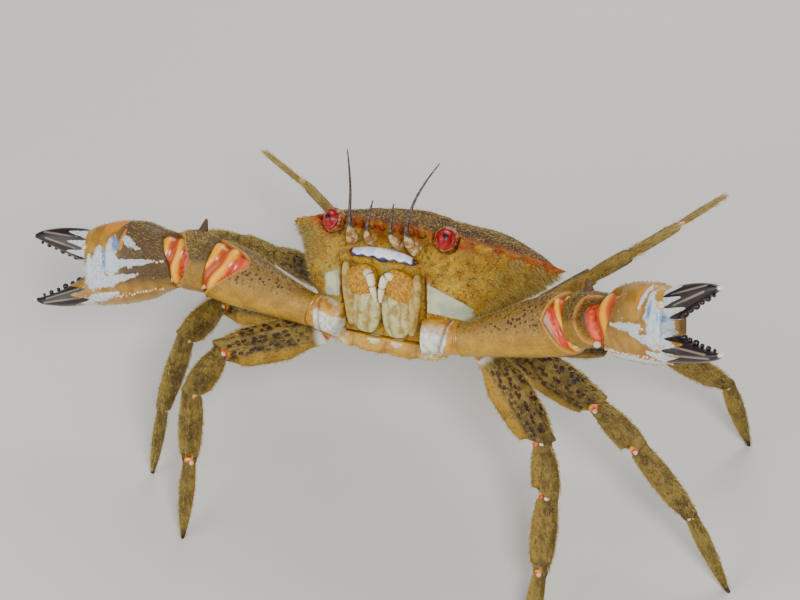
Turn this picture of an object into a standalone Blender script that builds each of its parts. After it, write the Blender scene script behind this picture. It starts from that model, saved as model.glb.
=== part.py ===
"""Velvet crab, a still life-size model in a raised threat stance.

Frame: metres, +Z up, floor at z = 0, the crab faces -Y and its own left is +X.
Sizes below are in millimetres and are scaled once, where a mesh is made.
"""
import math

import bmesh
import bpy
from mathutils import Matrix, Vector

MM = 0.001
GAP = 0.3
HALF_GAP = GAP / 2

# Attitude of the body: nose up, crab's left side up, heading -Y.
BODY_HEIGHT = 73.0
PITCH = math.radians(45.2)
ROLL = math.radians(14.3)

# Carapace, in the body frame: x left, y back, z dorsal, origin at the front middle.
DOME_HEIGHT = 6.4
RIM_DROP = 1.2
OUTLINE_STEPS = 23
RIM = [(0, 0.3), (9.5, 0.3), (12.5, 2.6), (17.5, 3.2), (21, 5.5), (25, 9.5), (29, 14.5), (32, 20),
       (33.5, 25.5), (31, 31), (25, 40.5), (18.5, 49.5), (13.5, 52.6), (7, 53.2), (0, 53.2)]
BASE = [(0, 12), (7.5, 12), (9.5, 12), (11.5, 12), (13.3, 12.2), (14.6, 12.6), (15.1, 15), (14.7, 19),
        (14.2, 24), (13.7, 29), (13, 36), (12.1, 44), (9.5, 48.5), (5, 50), (0, 50)]
BASE_FRONT_Y = 12.0
BASE_FRONT_Z = -24.6
BASE_RISE = 0.31
BAND_OUT = 5.0
BAND_UP = 7.5
FACE_TOP_Y = 3.2
FACE_TOP_Z = -8.0
LIP_Z = -2.2
WALL_BULGE = 2.2

# Teeth of the carapace: centre, length, half width, half height.
SIDE_TEETH = [(19.2, 4.4, 3.6, 2.1), (23.4, 8.0, 3.4, 2.3), (27.6, 12.8, 3.6, 2.5),
              (31.0, 18.2, 3.6, 2.4), (33.0, 24.2, 4.0, 2.1)]
SIDE_TOOTH_HEADING = [-62, -47, -36, -27, -12]
FRONT_TEETH = 4
FRONT_TOOTH_LENGTH = 2.0
FRONT_TOOTH_WIDTH = 1.0
FRONT_HALF_WIDTH = 9.2
TOOTH_FLATNESS = 0.6

# Outer mouth plates, left side: centre, half width, half height, lean, thickness.
MOUTH_PLATES = [((4.3, -18.4), 3.2, 4.7, 6, 2.3), ((5.6, -12.2), 3.5, 3.1, -14, 2.8), ((9.6, -16.2), 1.5, 6.6, -9, 2.0),
                ((7.2, -17.2), 2.0, 3.0, 0, 1.2)]
# Palp on the inner side of each mouth plate: x, height and how far it stands out of the mouth field.
PALP = [(5.2, -10.6, 1.4), (2.6, -10.2, 2.9), (1.7, -13.2, 3.4), (1.1, -17.4, 2.7)]
PALP_RADII = (1.3, 1.25, 1.05, 0.35)

# Underside plates, outlines as half widths and y: breastplate, its raised front lobe, folded tail.
STERNUM = [(0, 12.6), (6, 12.4), (12.0, 13.2), (12.9, 19), (12.0, 29), (10.4, 42), (7, 47.5), (0, 49)]
STERNUM_THICK = 1.8
BREAST_LOBE = [(0, 12.5), (6, 12.5), (9.6, 12.9), (9.8, 14.6), (8.6, 16.4), (4, 16.8), (0, 16.8)]
BREAST_DEPTH = 4.6
ABDOMEN = [(0, 17.5), (1.6, 18.2), (3.0, 24), (6.3, 31), (6.8, 38), (5.4, 46.5), (0, 47.2)]
ABDOMEN_THICK = 1.5

EYE = (15.2, 2.2, -0.6)
EYE_RADIUS = 2.9
SOCKET_RADIUS = 3.5

# Walking legs. Each has lengths of hip, merus, carpus, propodus and dactyl.
LEG_LENGTHS = {2: (8, 25, 13, 18, 20), 3: (8.5, 27, 14, 20, 22), 4: (8, 26, 13, 19, 22), 5: (7, 19, 10, 15, 19)}
LEG_Y = {2: 19.0, 3: 26.6, 4: 34.2, 5: 41.6}
LEG_HALF_HEIGHT = {2: (3.2, 5.0, 3.3, 3.1, 2.0), 3: (3.3, 5.3, 3.5, 3.2, 2.1),
                   4: (3.1, 4.9, 3.3, 3.1, 2.1), 5: (2.7, 4.1, 3.3, 4.7, 5.3)}
LEG_HALF_THICK = {2: (2.6, 2.3, 2.1, 1.6, 1.0), 3: (2.7, 2.5, 2.2, 1.7, 1.1),
                  4: (2.6, 2.3, 2.1, 1.6, 1.0), 5: (2.4, 2.1, 1.8, 1.2, 0.8)}
# Pose of each leg: heading and rise in degrees of hip, merus, carpus, propodus, dactyl.
# A rise of None is worked out so that the tip stands on the floor.
LEG_POSE = {
    (2, 1): ((2, -28), (-14, -34), (-46, -41), (-61, -40), (-66, None)),
    (3, 1): ((10, -21), (9, -19), (-3, -27), (-8, -30), (-4, None)),
    (4, 1): ((16, -16), (44, -12), (41, -16), (34, -32), (30, None)),
    (5, 1): ((46, 0), (56, 24), (60, 20), (72, 8), (84, -4)),
    (2, -1): ((-104, -33), (-131, -5), (-84, -16), (-62, -68), (-64, None)),
    (3, -1): ((-132, -12), (-146, 4), (-86, -4), (-98, -64), (-120, None)),
    (4, -1): ((176, -10), (178, -6), (177, -10), (170, -26), (168, None)),
    (5, -1): ((150, -20), (152, 2), (158, 8), (162, 4), (165, -2)),
}
FOOT_SINK = 0.7
PADDLE_BLADE = (-0.454, 0.603, -0.656)
LEG_SIDES = 10
LEG_NAMES = ("merus", "carpus", "propodus", "dactyl")

# Claw limbs: joints in the world frame come from headings and rises as well.
CLAW_LENGTHS = {1: (6, 29, 10, 22.5, 16.5), -1: (5.5, 27.5, 10, 23.5, 17)}
CLAW_COXA = (14.4, 10.6, -22.4)
CLAW_POSE = {1: ((20, 10), (23, 22), (-6, 32), (-10, 33)), -1: ((-174, -2), (-168, 7), (-168, -8), (-156, -15))}
CLAW_UP = (-0.400, 0.520, 0.755)
PALM_HALF_HEIGHT = {1: 8.8, -1: 10.2}
CLAW_SIDES = 14
FINGER_TEETH = 5


def direction(heading, rise):
    """Unit vector from a compass heading (0 is +X, 90 is +Y) and a rise, in degrees."""
    a = math.radians(heading)
    e = math.radians(rise)
    return Vector((math.cos(a) * math.cos(e), math.sin(a) * math.cos(e), math.sin(e)))


def body_axes():
    back = Vector((0, math.cos(PITCH), -math.sin(PITCH)))
    level_left = Vector((1, 0, 0))
    level_up = Vector((0, math.sin(PITCH), math.cos(PITCH)))
    left = level_left * math.cos(ROLL) + level_up * math.sin(ROLL)
    return left, back, left.cross(back)


LEFT, BACK, DORSAL = body_axes()
ORIGIN = Vector((0, 0, BODY_HEIGHT))


def body(x, y, z):
    """Body frame to world, both in millimetres."""
    return ORIGIN + LEFT * x + BACK * y + DORSAL * z


def body_vector(x, y, z):
    return LEFT * x + BACK * y + DORSAL * z


def lerp(a, b, t):
    return a + (b - a) * t


def smooth(t):
    t = min(max(t, 0.0), 1.0)
    return t * t * (3 - 2 * t)


def spline(points, count):
    """Points evenly stepped by index along a Catmull-Rom curve through the given points."""
    result = []
    last = len(points) - 1
    for i in range(count):
        place = i * last / (count - 1)
        k = min(int(place), last - 1)
        t = place - k
        p0, p1, p2, p3 = (points[min(max(k + j, 0), last)] for j in (-1, 0, 1, 2))
        result.append(tuple(0.5 * (2 * b + (c - a) * t + (2 * a - 5 * b + 4 * c - d) * t * t
                                   + (3 * b - a - 3 * c + d) * t ** 3)
                            for a, b, c, d in zip(p0, p1, p2, p3)))
    return result


MATERIALS = {}


def material(name, colour):
    if name not in MATERIALS:
        made = bpy.data.materials.new(name)
        made.use_nodes = True
        shader = made.node_tree.nodes["Principled BSDF"]
        shader.inputs["Base Color"].default_value = (*colour, 1)
        shader.inputs["Roughness"].default_value = 0.5
        MATERIALS[name] = made
    return MATERIALS[name]


def finish_mesh(bm, name, colour):
    """Turn a millimetre mesh into a named object in metres with its own material."""
    bmesh.ops.remove_doubles(bm, verts=bm.verts, dist=0.002)
    bmesh.ops.recalc_face_normals(bm, faces=bm.faces)
    bmesh.ops.scale(bm, verts=bm.verts, vec=(MM, MM, MM))
    bmesh.ops.triangulate(bm, faces=[f for f in bm.faces if len(f.verts) > 4])
    mesh = bpy.data.meshes.new(name)
    bm.to_mesh(mesh)
    bm.free()
    made = bpy.data.objects.new(name, mesh)
    bpy.context.scene.collection.objects.link(made)
    made.data.materials.append(material(name + "_shell", colour))
    return made


def loft(bm, rings):
    """Skin a list of rings of world points; a ring of one point closes to a tip."""
    made = [[bm.verts.new(p) for p in ring] for ring in rings]
    for low, high in zip(made, made[1:]):
        count = max(len(low), len(high))
        for i in range(count):
            j = (i + 1) % count
            if len(low) == 1:
                bm.faces.new((low[0], high[j], high[i]))
            elif len(high) == 1:
                bm.faces.new((low[i], low[j], high[0]))
            else:
                bm.faces.new((low[i], low[j], high[j], high[i]))
    for ring in (made[0], made[-1]):
        if len(ring) > 1:
            bm.faces.new(ring)


def section(centre, side, up, half_thick, half_height, count, power=2.4, keel=0.0):
    """One rounded cross-section; keel pinches its upper and lower edges."""
    ring = []
    for i in range(count):
        a = 2 * math.pi * (i + 0.5) / count
        c, s = math.cos(a), math.sin(a)
        x = math.copysign(abs(c) ** (2 / power), c) * half_thick * (1 - keel * abs(s))
        y = math.copysign(abs(s) ** (2 / power), s) * half_height
        ring.append(centre + side * x + up * y)
    return ring


def frame_for(along, reference):
    """Side and up unit vectors square to a limb's axis, up lying nearest the reference."""
    up = reference - along * reference.dot(along)
    if up.length < 0.2:
        up = body_vector(0, 1, 0)
        up = up - along * up.dot(along)
    up.normalize()
    return along.cross(up).normalized(), up


def cut(bm, point, normal):
    """Cut away what lies beyond a plane and close the hole."""
    geometry = bm.verts[:] + bm.edges[:] + bm.faces[:]
    made = bmesh.ops.bisect_plane(bm, geom=geometry, dist=1e-5, plane_co=point, plane_no=normal, clear_outer=True)
    edges = [e for e in made["geom_cut"] if isinstance(e, bmesh.types.BMEdge)]
    if edges:
        bmesh.ops.contextual_create(bm, geom=edges)


def bend_reference(number, steps):
    """The direction a leg's broad side points at each segment: square to it, in the plane it bends in."""
    if number == 5:
        return [Vector(PADDLE_BLADE)] * len(steps)
    units = [s.normalized() for s in steps]
    normal = Vector()
    for a, b in zip(units[1:], units[2:]):
        normal += a.cross(b)
    if normal.length < 0.1:
        return [DORSAL] * len(steps)
    normal.normalize()
    ups = [normal.cross(u) for u in units]
    if ups[1].dot(DORSAL) < 0:
        ups = [-u for u in ups]
    return ups


def limb_joints(start, lengths, pose):
    """Joint points of a limb; a rise of None brings that segment's end to the floor."""
    joints = [start]
    for length, (heading, rise) in zip(lengths, pose):
        if rise is None:
            drop = (joints[-1].z + FOOT_SINK) / length
            rise = -math.degrees(math.asin(min(drop, 0.999)))
        joints.append(joints[-1] + direction(heading, rise) * length)
    return joints


def segment(bm, start, end, stations, reference, before, after, count, keel=0.0, tip=False):
    """Loft one limb segment and mitre its ends against its neighbours.

    stations are (place 0..1, half thickness, half height, rise of the centre).
    """
    axis = (end - start)
    along = axis.normalized()
    side, up = frame_for(along, reference)
    rings = []
    for place, thick, high, lift in stations:
        rings.append(section(start + axis * place + up * lift, side, up, thick, high, count, keel=keel))
    if tip:
        rings.append([end.copy()])
    loft(bm, rings)
    if before is not None:
        normal = (before.normalized() + along).normalized()
        cut(bm, start + normal * HALF_GAP, -normal)
    if after is not None:
        normal = (along + after.normalized()).normalized()
        cut(bm, end - normal * HALF_GAP, normal)


def overrun(half_size, bend_from, bend_to):
    """How far a segment runs past its joint so that the mitre cuts all of it."""
    cosine = min(max(bend_from.normalized().dot(bend_to.normalized()), -0.2), 1.0)
    return half_size * math.tan(math.acos(cosine) / 2) + 0.6


def coxal_edge(y, side):
    """Lower edge of the band that the limbs leave from, in the body frame."""
    place = (y - 13) / 31
    x = lerp(15.3, 12.1, place)
    return Vector((side * x, y, base_height(y)))


def base_height(y):
    return BASE_FRONT_Z + (y - BASE_FRONT_Y) * BASE_RISE


def coxal_plane(side):
    """Point and outward normal, in the world, of the plane of that band."""
    low_front = coxal_edge(13, side)
    low_back = coxal_edge(44, side)
    along = low_back - low_front
    normal = along.cross(Vector((side * BAND_OUT, 0, BAND_UP)))
    normal.normalize()
    if normal.x * side < 0:
        normal = -normal
    return body(*low_front), body_vector(*normal)


def face_y(z):
    """The flat mouth field, as y in the body frame for a height z."""
    slope = (BASE_FRONT_Y - FACE_TOP_Y) / (FACE_TOP_Z - BASE_FRONT_Z)
    return FACE_TOP_Y + (FACE_TOP_Z - z) * slope


def carapace():
    rim = spline(RIM, OUTLINE_STEPS)
    base = spline(BASE, OUTLINE_STEPS)
    columns = [(1, i) for i in range(OUTLINE_STEPS)] + [(-1, i) for i in range(OUTLINE_STEPS - 2, 0, -1)]

    def ring(maker):
        return [body(*maker(side, rim[i], base[i], i)) for side, i in columns]

    def dome(scale, height):
        def maker(side, r, b, i):
            middle = 26.0
            return (side * r[0] * scale, middle + (r[1] - middle) * scale, height)
        return ring(maker)

    def frontness(r):
        return 1 - smooth((r[0] - 12.5) / 6)

    def wall(step):
        def maker(side, r, b, i):
            w = frontness(r) if r[1] < 30 else 0.0
            zb = base_height(b[1])
            lift = smooth(min((b[1] - 12) / 2, (50 - b[1]) / 4))
            top = (b[0] + BAND_OUT * lift, b[1], zb + BAND_UP * lift)
            bulge = WALL_BULGE * math.sin(math.pi * step) * (1 - 1.4 * smooth((r[1] - 22) / 18))
            sx = lerp(r[0], top[0], step) + bulge * 0.8
            sy = lerp(r[1], top[1], step) + (bulge * 0.7 if r[1] > 45 else 0)
            sz = lerp(-RIM_DROP, top[2], step ** 0.85)
            fz = lerp(LIP_Z, zb, step)
            fy = max(face_y(fz), FACE_TOP_Y + 0.2) if step < 0.99 else b[1]
            fx = lerp(r[0], b[0], step)
            return (side * lerp(sx, fx, w), lerp(sy, fy, w), lerp(sz, fz, w))
        return ring(maker)

    def band_foot():
        def maker(side, r, b, i):
            return (side * b[0], b[1], base_height(b[1]))
        return ring(maker)

    def base_ring(scale):
        def maker(side, r, b, i):
            y = 31 + (b[1] - 31) * scale
            return (side * b[0] * scale, y, base_height(y))
        return ring(maker)

    rings = [[body(0, 26, DOME_HEIGHT)]]
    for scale in (0.25, 0.5, 0.72, 0.88, 0.97):
        rings.append(dome(scale, DOME_HEIGHT * (1 - scale ** 2.6) + 0.25))
    rings.append(dome(1.0, -RIM_DROP * 0.4))
    for step in (0.0, 0.16, 0.34, 0.55, 0.78, 1.0):
        rings.append(wall(step))
    rings.append(band_foot())
    rings.append(base_ring(0.55))
    rings.append([body(0, 31, base_height(31))])
    bm = bmesh.new()
    loft(bm, rings)
    made = finish_mesh(bm, "carapace", (0.55, 0.33, 0.08))
    join_teeth(made)
    cut_sockets(made)
    return made


def spike(bm, root, point, across, flat, half_width, flatness, sides=5):
    """A short tapering tooth from a root point to a sharp point."""
    ring = []
    for i in range(sides):
        a = 2 * math.pi * i / sides
        ring.append(root + across * half_width * math.cos(a) + flat * half_width * flatness * math.sin(a))
    middle = root.lerp(point, 0.55)
    second = [middle + (p - root) * 0.62 for p in ring]
    loft(bm, [ring, second, [point]])


def union(target, pieces):
    """Fuse many like pieces to the target with one Boolean on a collection."""
    group = bpy.data.collections.new("fuse")
    bpy.context.scene.collection.children.link(group)
    for piece in pieces:
        bpy.context.scene.collection.objects.unlink(piece)
        group.objects.link(piece)
    modifier = target.modifiers.new("fuse", "BOOLEAN")
    modifier.operation = "UNION"
    modifier.operand_type = "COLLECTION"
    modifier.collection = group
    modifier.solver = "EXACT"
    bake(target)
    for piece in pieces:
        bpy.data.objects.remove(piece)
    bpy.data.collections.remove(group)


def subtract(target, cutter):
    modifier = target.modifiers.new("cut", "BOOLEAN")
    modifier.operation = "DIFFERENCE"
    modifier.object = cutter
    modifier.solver = "EXACT"
    bake(target)
    bpy.data.objects.remove(cutter)


def bake(target):
    """Apply the modifiers and keep only the largest closed surface."""
    graph = bpy.context.evaluated_depsgraph_get()
    mesh = bpy.data.meshes.new_from_object(target.evaluated_get(graph))
    target.modifiers.clear()
    target.data = mesh
    bm = bmesh.new()
    bm.from_mesh(mesh)
    bmesh.ops.remove_doubles(bm, verts=bm.verts, dist=2e-6)
    bmesh.ops.dissolve_degenerate(bm, edges=bm.edges, dist=2e-6)
    keep = largest_shell(bm)
    bmesh.ops.delete(bm, geom=[f for f in bm.faces if f not in keep], context="FACES")
    bmesh.ops.delete(bm, geom=[v for v in bm.verts if not v.link_faces], context="VERTS")
    bmesh.ops.triangulate(bm, faces=bm.faces)
    bm.to_mesh(mesh)
    bm.free()


def largest_shell(bm):
    left = set(bm.faces)
    best = set()
    while left:
        shell = set()
        stack = [next(iter(left))]
        while stack:
            face = stack.pop()
            if face in shell:
                continue
            shell.add(face)
            stack.extend(n for e in face.edges for n in e.link_faces if n not in shell)
        left -= shell
        if len(shell) > len(best):
            best = shell
    return best


def join_teeth(target):
    pieces = []
    flat = body_vector(0, 0, 1)
    for side in (1, -1):
        for (x, y, length, half), heading in zip(SIDE_TEETH, SIDE_TOOTH_HEADING):
            a = math.radians(heading)
            out = body_vector(side * math.cos(a), math.sin(a), 0)
            across = out.cross(flat)
            root = body(side * x, y, -0.5) - out * 1.8
            bm = bmesh.new()
            spike(bm, root, root + out * (length + 1.8), across, flat, half, TOOTH_FLATNESS)
            pieces.append(finish_mesh(bm, "tooth", (0.4, 0.2, 0.06)))
        for k in range(FRONT_TEETH):
            x = FRONT_HALF_WIDTH * (k + 0.5) / FRONT_TEETH
            root = body(side * x, 1.4, -0.35)
            out = body_vector(side * 0.1 * k, -1, 0).normalized()
            bm = bmesh.new()
            spike(bm, root, root + out * (FRONT_TOOTH_LENGTH + 1.4), out.cross(flat), flat,
                  FRONT_TOOTH_WIDTH, TOOTH_FLATNESS)
            pieces.append(finish_mesh(bm, "tooth", (0.4, 0.2, 0.06)))
    union(target, pieces)


def ball(bm, centre, radius, rings=6, sides=10, stretch=1.0):
    bmesh.ops.create_uvsphere(bm, u_segments=sides, v_segments=rings, radius=radius,
                              matrix=Matrix.Translation(centre) @ Matrix.Diagonal((1, 1, stretch, 1)))


def cut_sockets(target):
    for side in (1, -1):
        bm = bmesh.new()
        ball(bm, body(side * EYE[0], EYE[1], EYE[2]), SOCKET_RADIUS, 7, 10)
        subtract(target, finish_mesh(bm, "socket", (0.5, 0.3, 0.1)))


def eyes():
    for side, name in ((1, "left"), (-1, "right")):
        bm = bmesh.new()
        centre = body(side * EYE[0], EYE[1], EYE[2])
        ball(bm, centre, EYE_RADIUS, 8, 12)
        finish_mesh(bm, "eye_" + name, (0.5, 0.01, 0.02))


def plate(bm, outline, place, thick, normal):
    """A cushion-edged plate from an outline of (u, v) pairs set by a placing function."""
    low = [place(u, v) for u, v in outline]
    middle = sum(low, Vector()) / len(low)
    rings = []
    for height, inset in ((0.0, 0.08), (0.35, 0.0), (0.75, 0.05), (1.0, 0.22)):
        rings.append([p.lerp(middle, inset) + normal * (thick * height) for p in low])
    loft(bm, rings)


def oval(centre, half_width, half_height, lean, count=10, power=2.6):
    """Outline of a rounded plate as (u, v) pairs, leaned by an angle."""
    points = []
    c, s = math.cos(lean), math.sin(lean)
    for i in range(count):
        a = 2 * math.pi * (i + 0.5) / count
        x = math.copysign(abs(math.cos(a)) ** (2 / power), math.cos(a)) * half_width
        y = math.copysign(abs(math.sin(a)) ** (2 / power), math.sin(a)) * half_height
        points.append((centre[0] + c * x - s * y, centre[1] + s * x + c * y))
    return points


def mirrored(half):
    """A closed outline from the half with x of zero or more."""
    return half + [(-x, y) for x, y in reversed(half[1:-1])]


def underside():
    """Sternum between the limbs with its raised front lobe, and the folded abdomen on its middle line."""
    down = LEFT.cross(body_vector(0, 1, BASE_RISE)).normalized()
    if down.dot(DORSAL) > 0:
        down = -down

    def under_plate(name, half, level, thick):
        bm = bmesh.new()
        plate(bm, mirrored(half), lambda x, y: body(x, y, base_height(y)) + down * level, thick, down)
        return finish_mesh(bm, name, (0.6, 0.42, 0.16))

    sternum = under_plate("sternum", STERNUM, GAP, STERNUM_THICK)
    union(sternum, [under_plate("lobe", BREAST_LOBE, GAP, BREAST_DEPTH)])
    under_plate("abdomen", ABDOMEN, STERNUM_THICK + 2 * GAP, ABDOMEN_THICK)


def mouth():
    """Epistome bar and the pair of outer mouth plates with their palps and exopods."""
    out = body_vector(0, -(FACE_TOP_Z - BASE_FRONT_Z), -(BASE_FRONT_Y - FACE_TOP_Y)).normalized()

    def on_face(x, v):
        return body(x, face_y(v), v) + out * GAP

    bar = [(9.2, -7.6), (8.4, -9.4), (3, -9.8), (0, -10.2), (-3, -9.8), (-8.4, -9.4), (-9.2, -7.6), (-5, -6.6), (5, -6.6)]
    bm = bmesh.new()

    def on_bar(x, v):
        return body(x, FACE_TOP_Y + 0.2, v) + body_vector(0, -1, 0) * (GAP + 0.2)
    plate(bm, [(x, v + 1.6) for x, v in bar], on_bar, 1.5, body_vector(0, -1, 0))
    finish_mesh(bm, "epistome", (0.6, 0.65, 0.75))
    for side, name in ((1, "left"), (-1, "right")):
        parts = []
        for centre, width, height, lean, thick in MOUTH_PLATES:
            bm = bmesh.new()
            plate(bm, oval((side * centre[0], centre[1]), width, height, side * math.radians(lean)), on_face, thick, out)
            parts.append(finish_mesh(bm, "maxilliped_" + name if not parts else "plate", (0.62, 0.4, 0.12)))
        main = parts.pop(0)
        bm = bmesh.new()
        points = [on_face(side * x, z) + out * stand for x, z, stand in PALP]
        tube(bm, points, PALP_RADII, 7)
        palp = finish_mesh(bm, "palp", (0.8, 0.75, 0.6))
        union(main, parts + [palp])


def tube(bm, points, radii, sides, flat=1.0, tip=False):
    """A round tube along points with a radius at each."""
    rings = []
    for i, (p, r) in enumerate(zip(points, radii)):
        a = points[max(i - 1, 0)]
        b = points[min(i + 1, len(points) - 1)]
        along = (b - a).normalized()
        side, up = frame_for(along, DORSAL if abs(along.dot(DORSAL)) < 0.9 else BACK)
        if tip and i == len(points) - 1:
            rings.append([p])
        else:
            rings.append(section(p, side, up, r * flat, r, sides, power=2.0))
    loft(bm, rings)


def feelers():
    for side, name in ((1, "left"), (-1, "right")):
        bm = bmesh.new()
        root = body(side * 8.6, 1.4, -4.2)
        bend = [root, body(side * 8.0, -0.8, -3.4), body(side * 7.6, -3.0, -2.0)]
        whip = [body(side * 7.8, -4.6, 1.2), body(side * 8.6, -5.2, 6.2), body(side * 10.4, -5.0, 11.5),
                body(side * 12.4, -4.4, 16.0)]
        tube(bm, bend + whip, (1.4, 1.3, 1.0, 0.6, 0.5, 0.4, 0.25), 6, tip=True)
        finish_mesh(bm, "antenna_" + name, (0.12, 0.12, 0.12))
        bm = bmesh.new()
        points = [body(side * 4.0, 1.6, -3.6), body(side * 3.6, -0.6, -3.2), body(side * 3.2, -2.8, -2.0),
                  body(side * 3.0, -3.8, 1.2), body(side * 2.8, -4.0, 5.0)]
        tube(bm, points, (1.1, 1.0, 0.75, 0.5, 0.25), 6, tip=True)
        finish_mesh(bm, "antennule_" + name, (0.4, 0.3, 0.15))


def legs():
    for (number, side), pose in LEG_POSE.items():
        tag = "leg%d_%s_" % (number, "left" if side > 0 else "right")
        root = coxal_edge(LEG_Y[number], side) + Vector((side * BAND_OUT, 0, BAND_UP)) * 0.4
        joints = limb_joints(body(*root), LEG_LENGTHS[number], pose)
        steps = [b - a for a, b in zip(joints, joints[1:])]
        high = LEG_HALF_HEIGHT[number]
        thick = LEG_HALF_THICK[number]
        ups = bend_reference(number, steps)
        for k in range(4):
            start, end = joints[k + 1], joints[k + 2]
            before = steps[k]
            after = steps[k + 2] if k < 3 else None
            length = LEG_LENGTHS[number][k + 1]
            lead = overrun(high[k + 1] * 0.8, before, end - start) / length
            trail = overrun(high[k + 1] * 0.8, end - start, after) / length if after is not None else 0
            bm = bmesh.new()
            if k == 3:
                stations = dactyl_stations(number, thick[4], high[4], lead)
                segment(bm, start, end, stations, ups[k + 1], before, None, LEG_SIDES, keel=0.35, tip=True)
                if pose[4][1] is None:
                    cut(bm, Vector((0, 0, 0)), Vector((0, 0, -1)))
            else:
                stations = segment_stations(number, k, thick, high, lead, trail)
                segment(bm, start, end, stations, ups[k + 1], before, after, LEG_SIDES, keel=0.2)
            if k == 0:
                own = finish_mesh(bm, tag + "merus", (0.28, 0.22, 0.1))
                hip(own, joints, high, thick, side, ups[1])
            else:
                finish_mesh(bm, tag + LEG_NAMES[k], (0.3, 0.24, 0.12))


def hip(merus, joints, high, thick, side, up_ahead):
    """The short basal pieces of a leg, one solid with its merus."""
    bm = bmesh.new()
    axis = joints[1] - joints[0]
    along = axis.normalized()
    across, up = frame_for(along, DORSAL)
    start = joints[0] - along * 6
    rings = [section(start, across, up, thick[0], high[0], LEG_SIDES),
             section(joints[0], across, up, thick[0] * 1.1, high[0] * 1.1, LEG_SIDES),
             section(joints[0].lerp(joints[1], 0.6), across, up, thick[0], high[0], LEG_SIDES)]
    ahead = (joints[2] - joints[1]).normalized()
    across, up = frame_for(ahead, up_ahead)
    rings.append(section(joints[1] + ahead * 1.5, across, up, thick[1] * 0.8, high[1] * 0.66, LEG_SIDES))
    rings.append(section(joints[1] + ahead * 4.0, across, up, thick[1] * 0.5, high[1] * 0.4, LEG_SIDES))
    loft(bm, rings)
    point, normal = coxal_plane(side)
    cut(bm, point + normal * GAP, -normal)
    union(merus, [finish_mesh(bm, "hip", (0.4, 0.3, 0.15))])


def segment_stations(number, k, thick, high, lead, trail):
    """Swelling of a merus, carpus or propodus along its length."""
    swell = ((0.62, 1.0, 0.95, 0.7), (0.72, 0.95, 1.0, 0.85), (0.85, 1.0, 0.9, 0.62))[k]
    if number == 5 and k == 2:
        swell = (0.55, 0.95, 1.0, 0.62)
    t, h = thick[k + 1], high[k + 1]
    places = (0.06, 0.38, 0.72, 0.97)
    stations = [(-lead, t * 0.8, h * swell[0], 0)]
    for place, s in zip(places, swell):
        stations.append((place, t * (0.8 + 0.2 * s), h * s, 0))
    stations.append((1 + trail, t * 0.8, h * swell[3], 0))
    return stations


def dactyl_stations(number, thick, high, lead):
    if number == 5:
        shape = ((0.04, 0.42), (0.25, 0.82), (0.5, 1.0), (0.75, 0.84), (0.93, 0.42))
    else:
        shape = ((0.04, 0.86), (0.3, 1.0), (0.6, 0.82), (0.86, 0.4))
    stations = [(-lead, thick, high * shape[0][1], 0)]
    for place, s in shape:
        stations.append((place, thick * (0.45 + 0.55 * s), high * s, 0))
    return stations


def claw_frame(along, side):
    up = Vector(CLAW_UP)
    up = (up - along * up.dot(along)).normalized()
    return along.cross(up).normalized(), up


def claws():
    for side, name in ((1, "left"), (-1, "right")):
        lengths = CLAW_LENGTHS[side]
        pose = CLAW_POSE[side]
        root = body(side * CLAW_COXA[0], CLAW_COXA[1], CLAW_COXA[2])
        joints = limb_joints(root, lengths[:4], pose)
        big = PALM_HALF_HEIGHT[side]
        upper_arm(joints, big, side, name)
        palm_and_dactyl(joints[3], joints[4] - joints[3], joints[3] - joints[2], lengths, big, side, name)


def upper_arm(joints, big, side, name):
    steps = [b - a for a, b in zip(joints, joints[1:])]
    bm = bmesh.new()
    along = steps[0].normalized()
    across, up = claw_frame(along, side)
    rings = [section(joints[0] - along * 5, across, up, 3.6, 4.2, CLAW_SIDES),
             section(joints[0] + along * 2.0, across, up, 3.8, 4.3, CLAW_SIDES),
             section(joints[1] + along * 1.0, across, up, 3.5, 3.9, CLAW_SIDES)]
    loft(bm, rings)
    point, normal = coxal_plane(side)
    cut(bm, point + normal * GAP, -normal)
    split = (along + steps[1].normalized()).normalized()
    cut(bm, joints[1] - split * HALF_GAP, split)
    finish_mesh(bm, "claw_%s_ischium" % name, (0.6, 0.5, 0.3))

    bm = bmesh.new()
    length = steps[1].length
    lead = overrun(5, steps[0], steps[1]) / length
    trail = overrun(6, steps[1], steps[2]) / length
    shape = ((-lead, 3.5, 3.9, -0.5), (0.05, 3.7, 4.1, -0.5), (0.35, 4.5, 5.3, -0.4), (0.7, 5.5, 7.0, 0),
             (0.93, 5.7, 7.3, 0), (1 + trail, 5.1, 6.7, 0))
    segment(bm, joints[1], joints[2], shape, Vector(CLAW_UP), steps[0], steps[2], CLAW_SIDES)
    finish_mesh(bm, "claw_%s_merus" % name, (0.5, 0.33, 0.12))

    bm = bmesh.new()
    length = steps[2].length
    lead = overrun(6, steps[1], steps[2]) / length
    trail = overrun(6, steps[2], steps[3]) / length
    wide = big * 0.74
    shape = ((-lead, 5.0, wide * 0.8, 0), (0.1, 5.6, wide * 0.92, 0.3), (0.5, 6.2, wide, 0.8),
             (0.9, 5.6, wide * 0.9, 0.4), (1 + trail, 5.0, wide * 0.8, 0))
    segment(bm, joints[2], joints[3], shape, Vector(CLAW_UP), steps[1], steps[3], CLAW_SIDES)
    own = finish_mesh(bm, "claw_%s_carpus" % name, (0.5, 0.33, 0.12))
    along = steps[2].normalized()
    across, up = claw_frame(along, side)
    bm = bmesh.new()
    root = joints[2].lerp(joints[3], 0.5) + up * (wide * 0.5)
    spike(bm, root, root + up * (wide * 0.5 + 5.2) - along * 1.0, along, across, 2.2, 0.9)
    union(own, [finish_mesh(bm, "spine", (0.3, 0.2, 0.1))])


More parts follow.
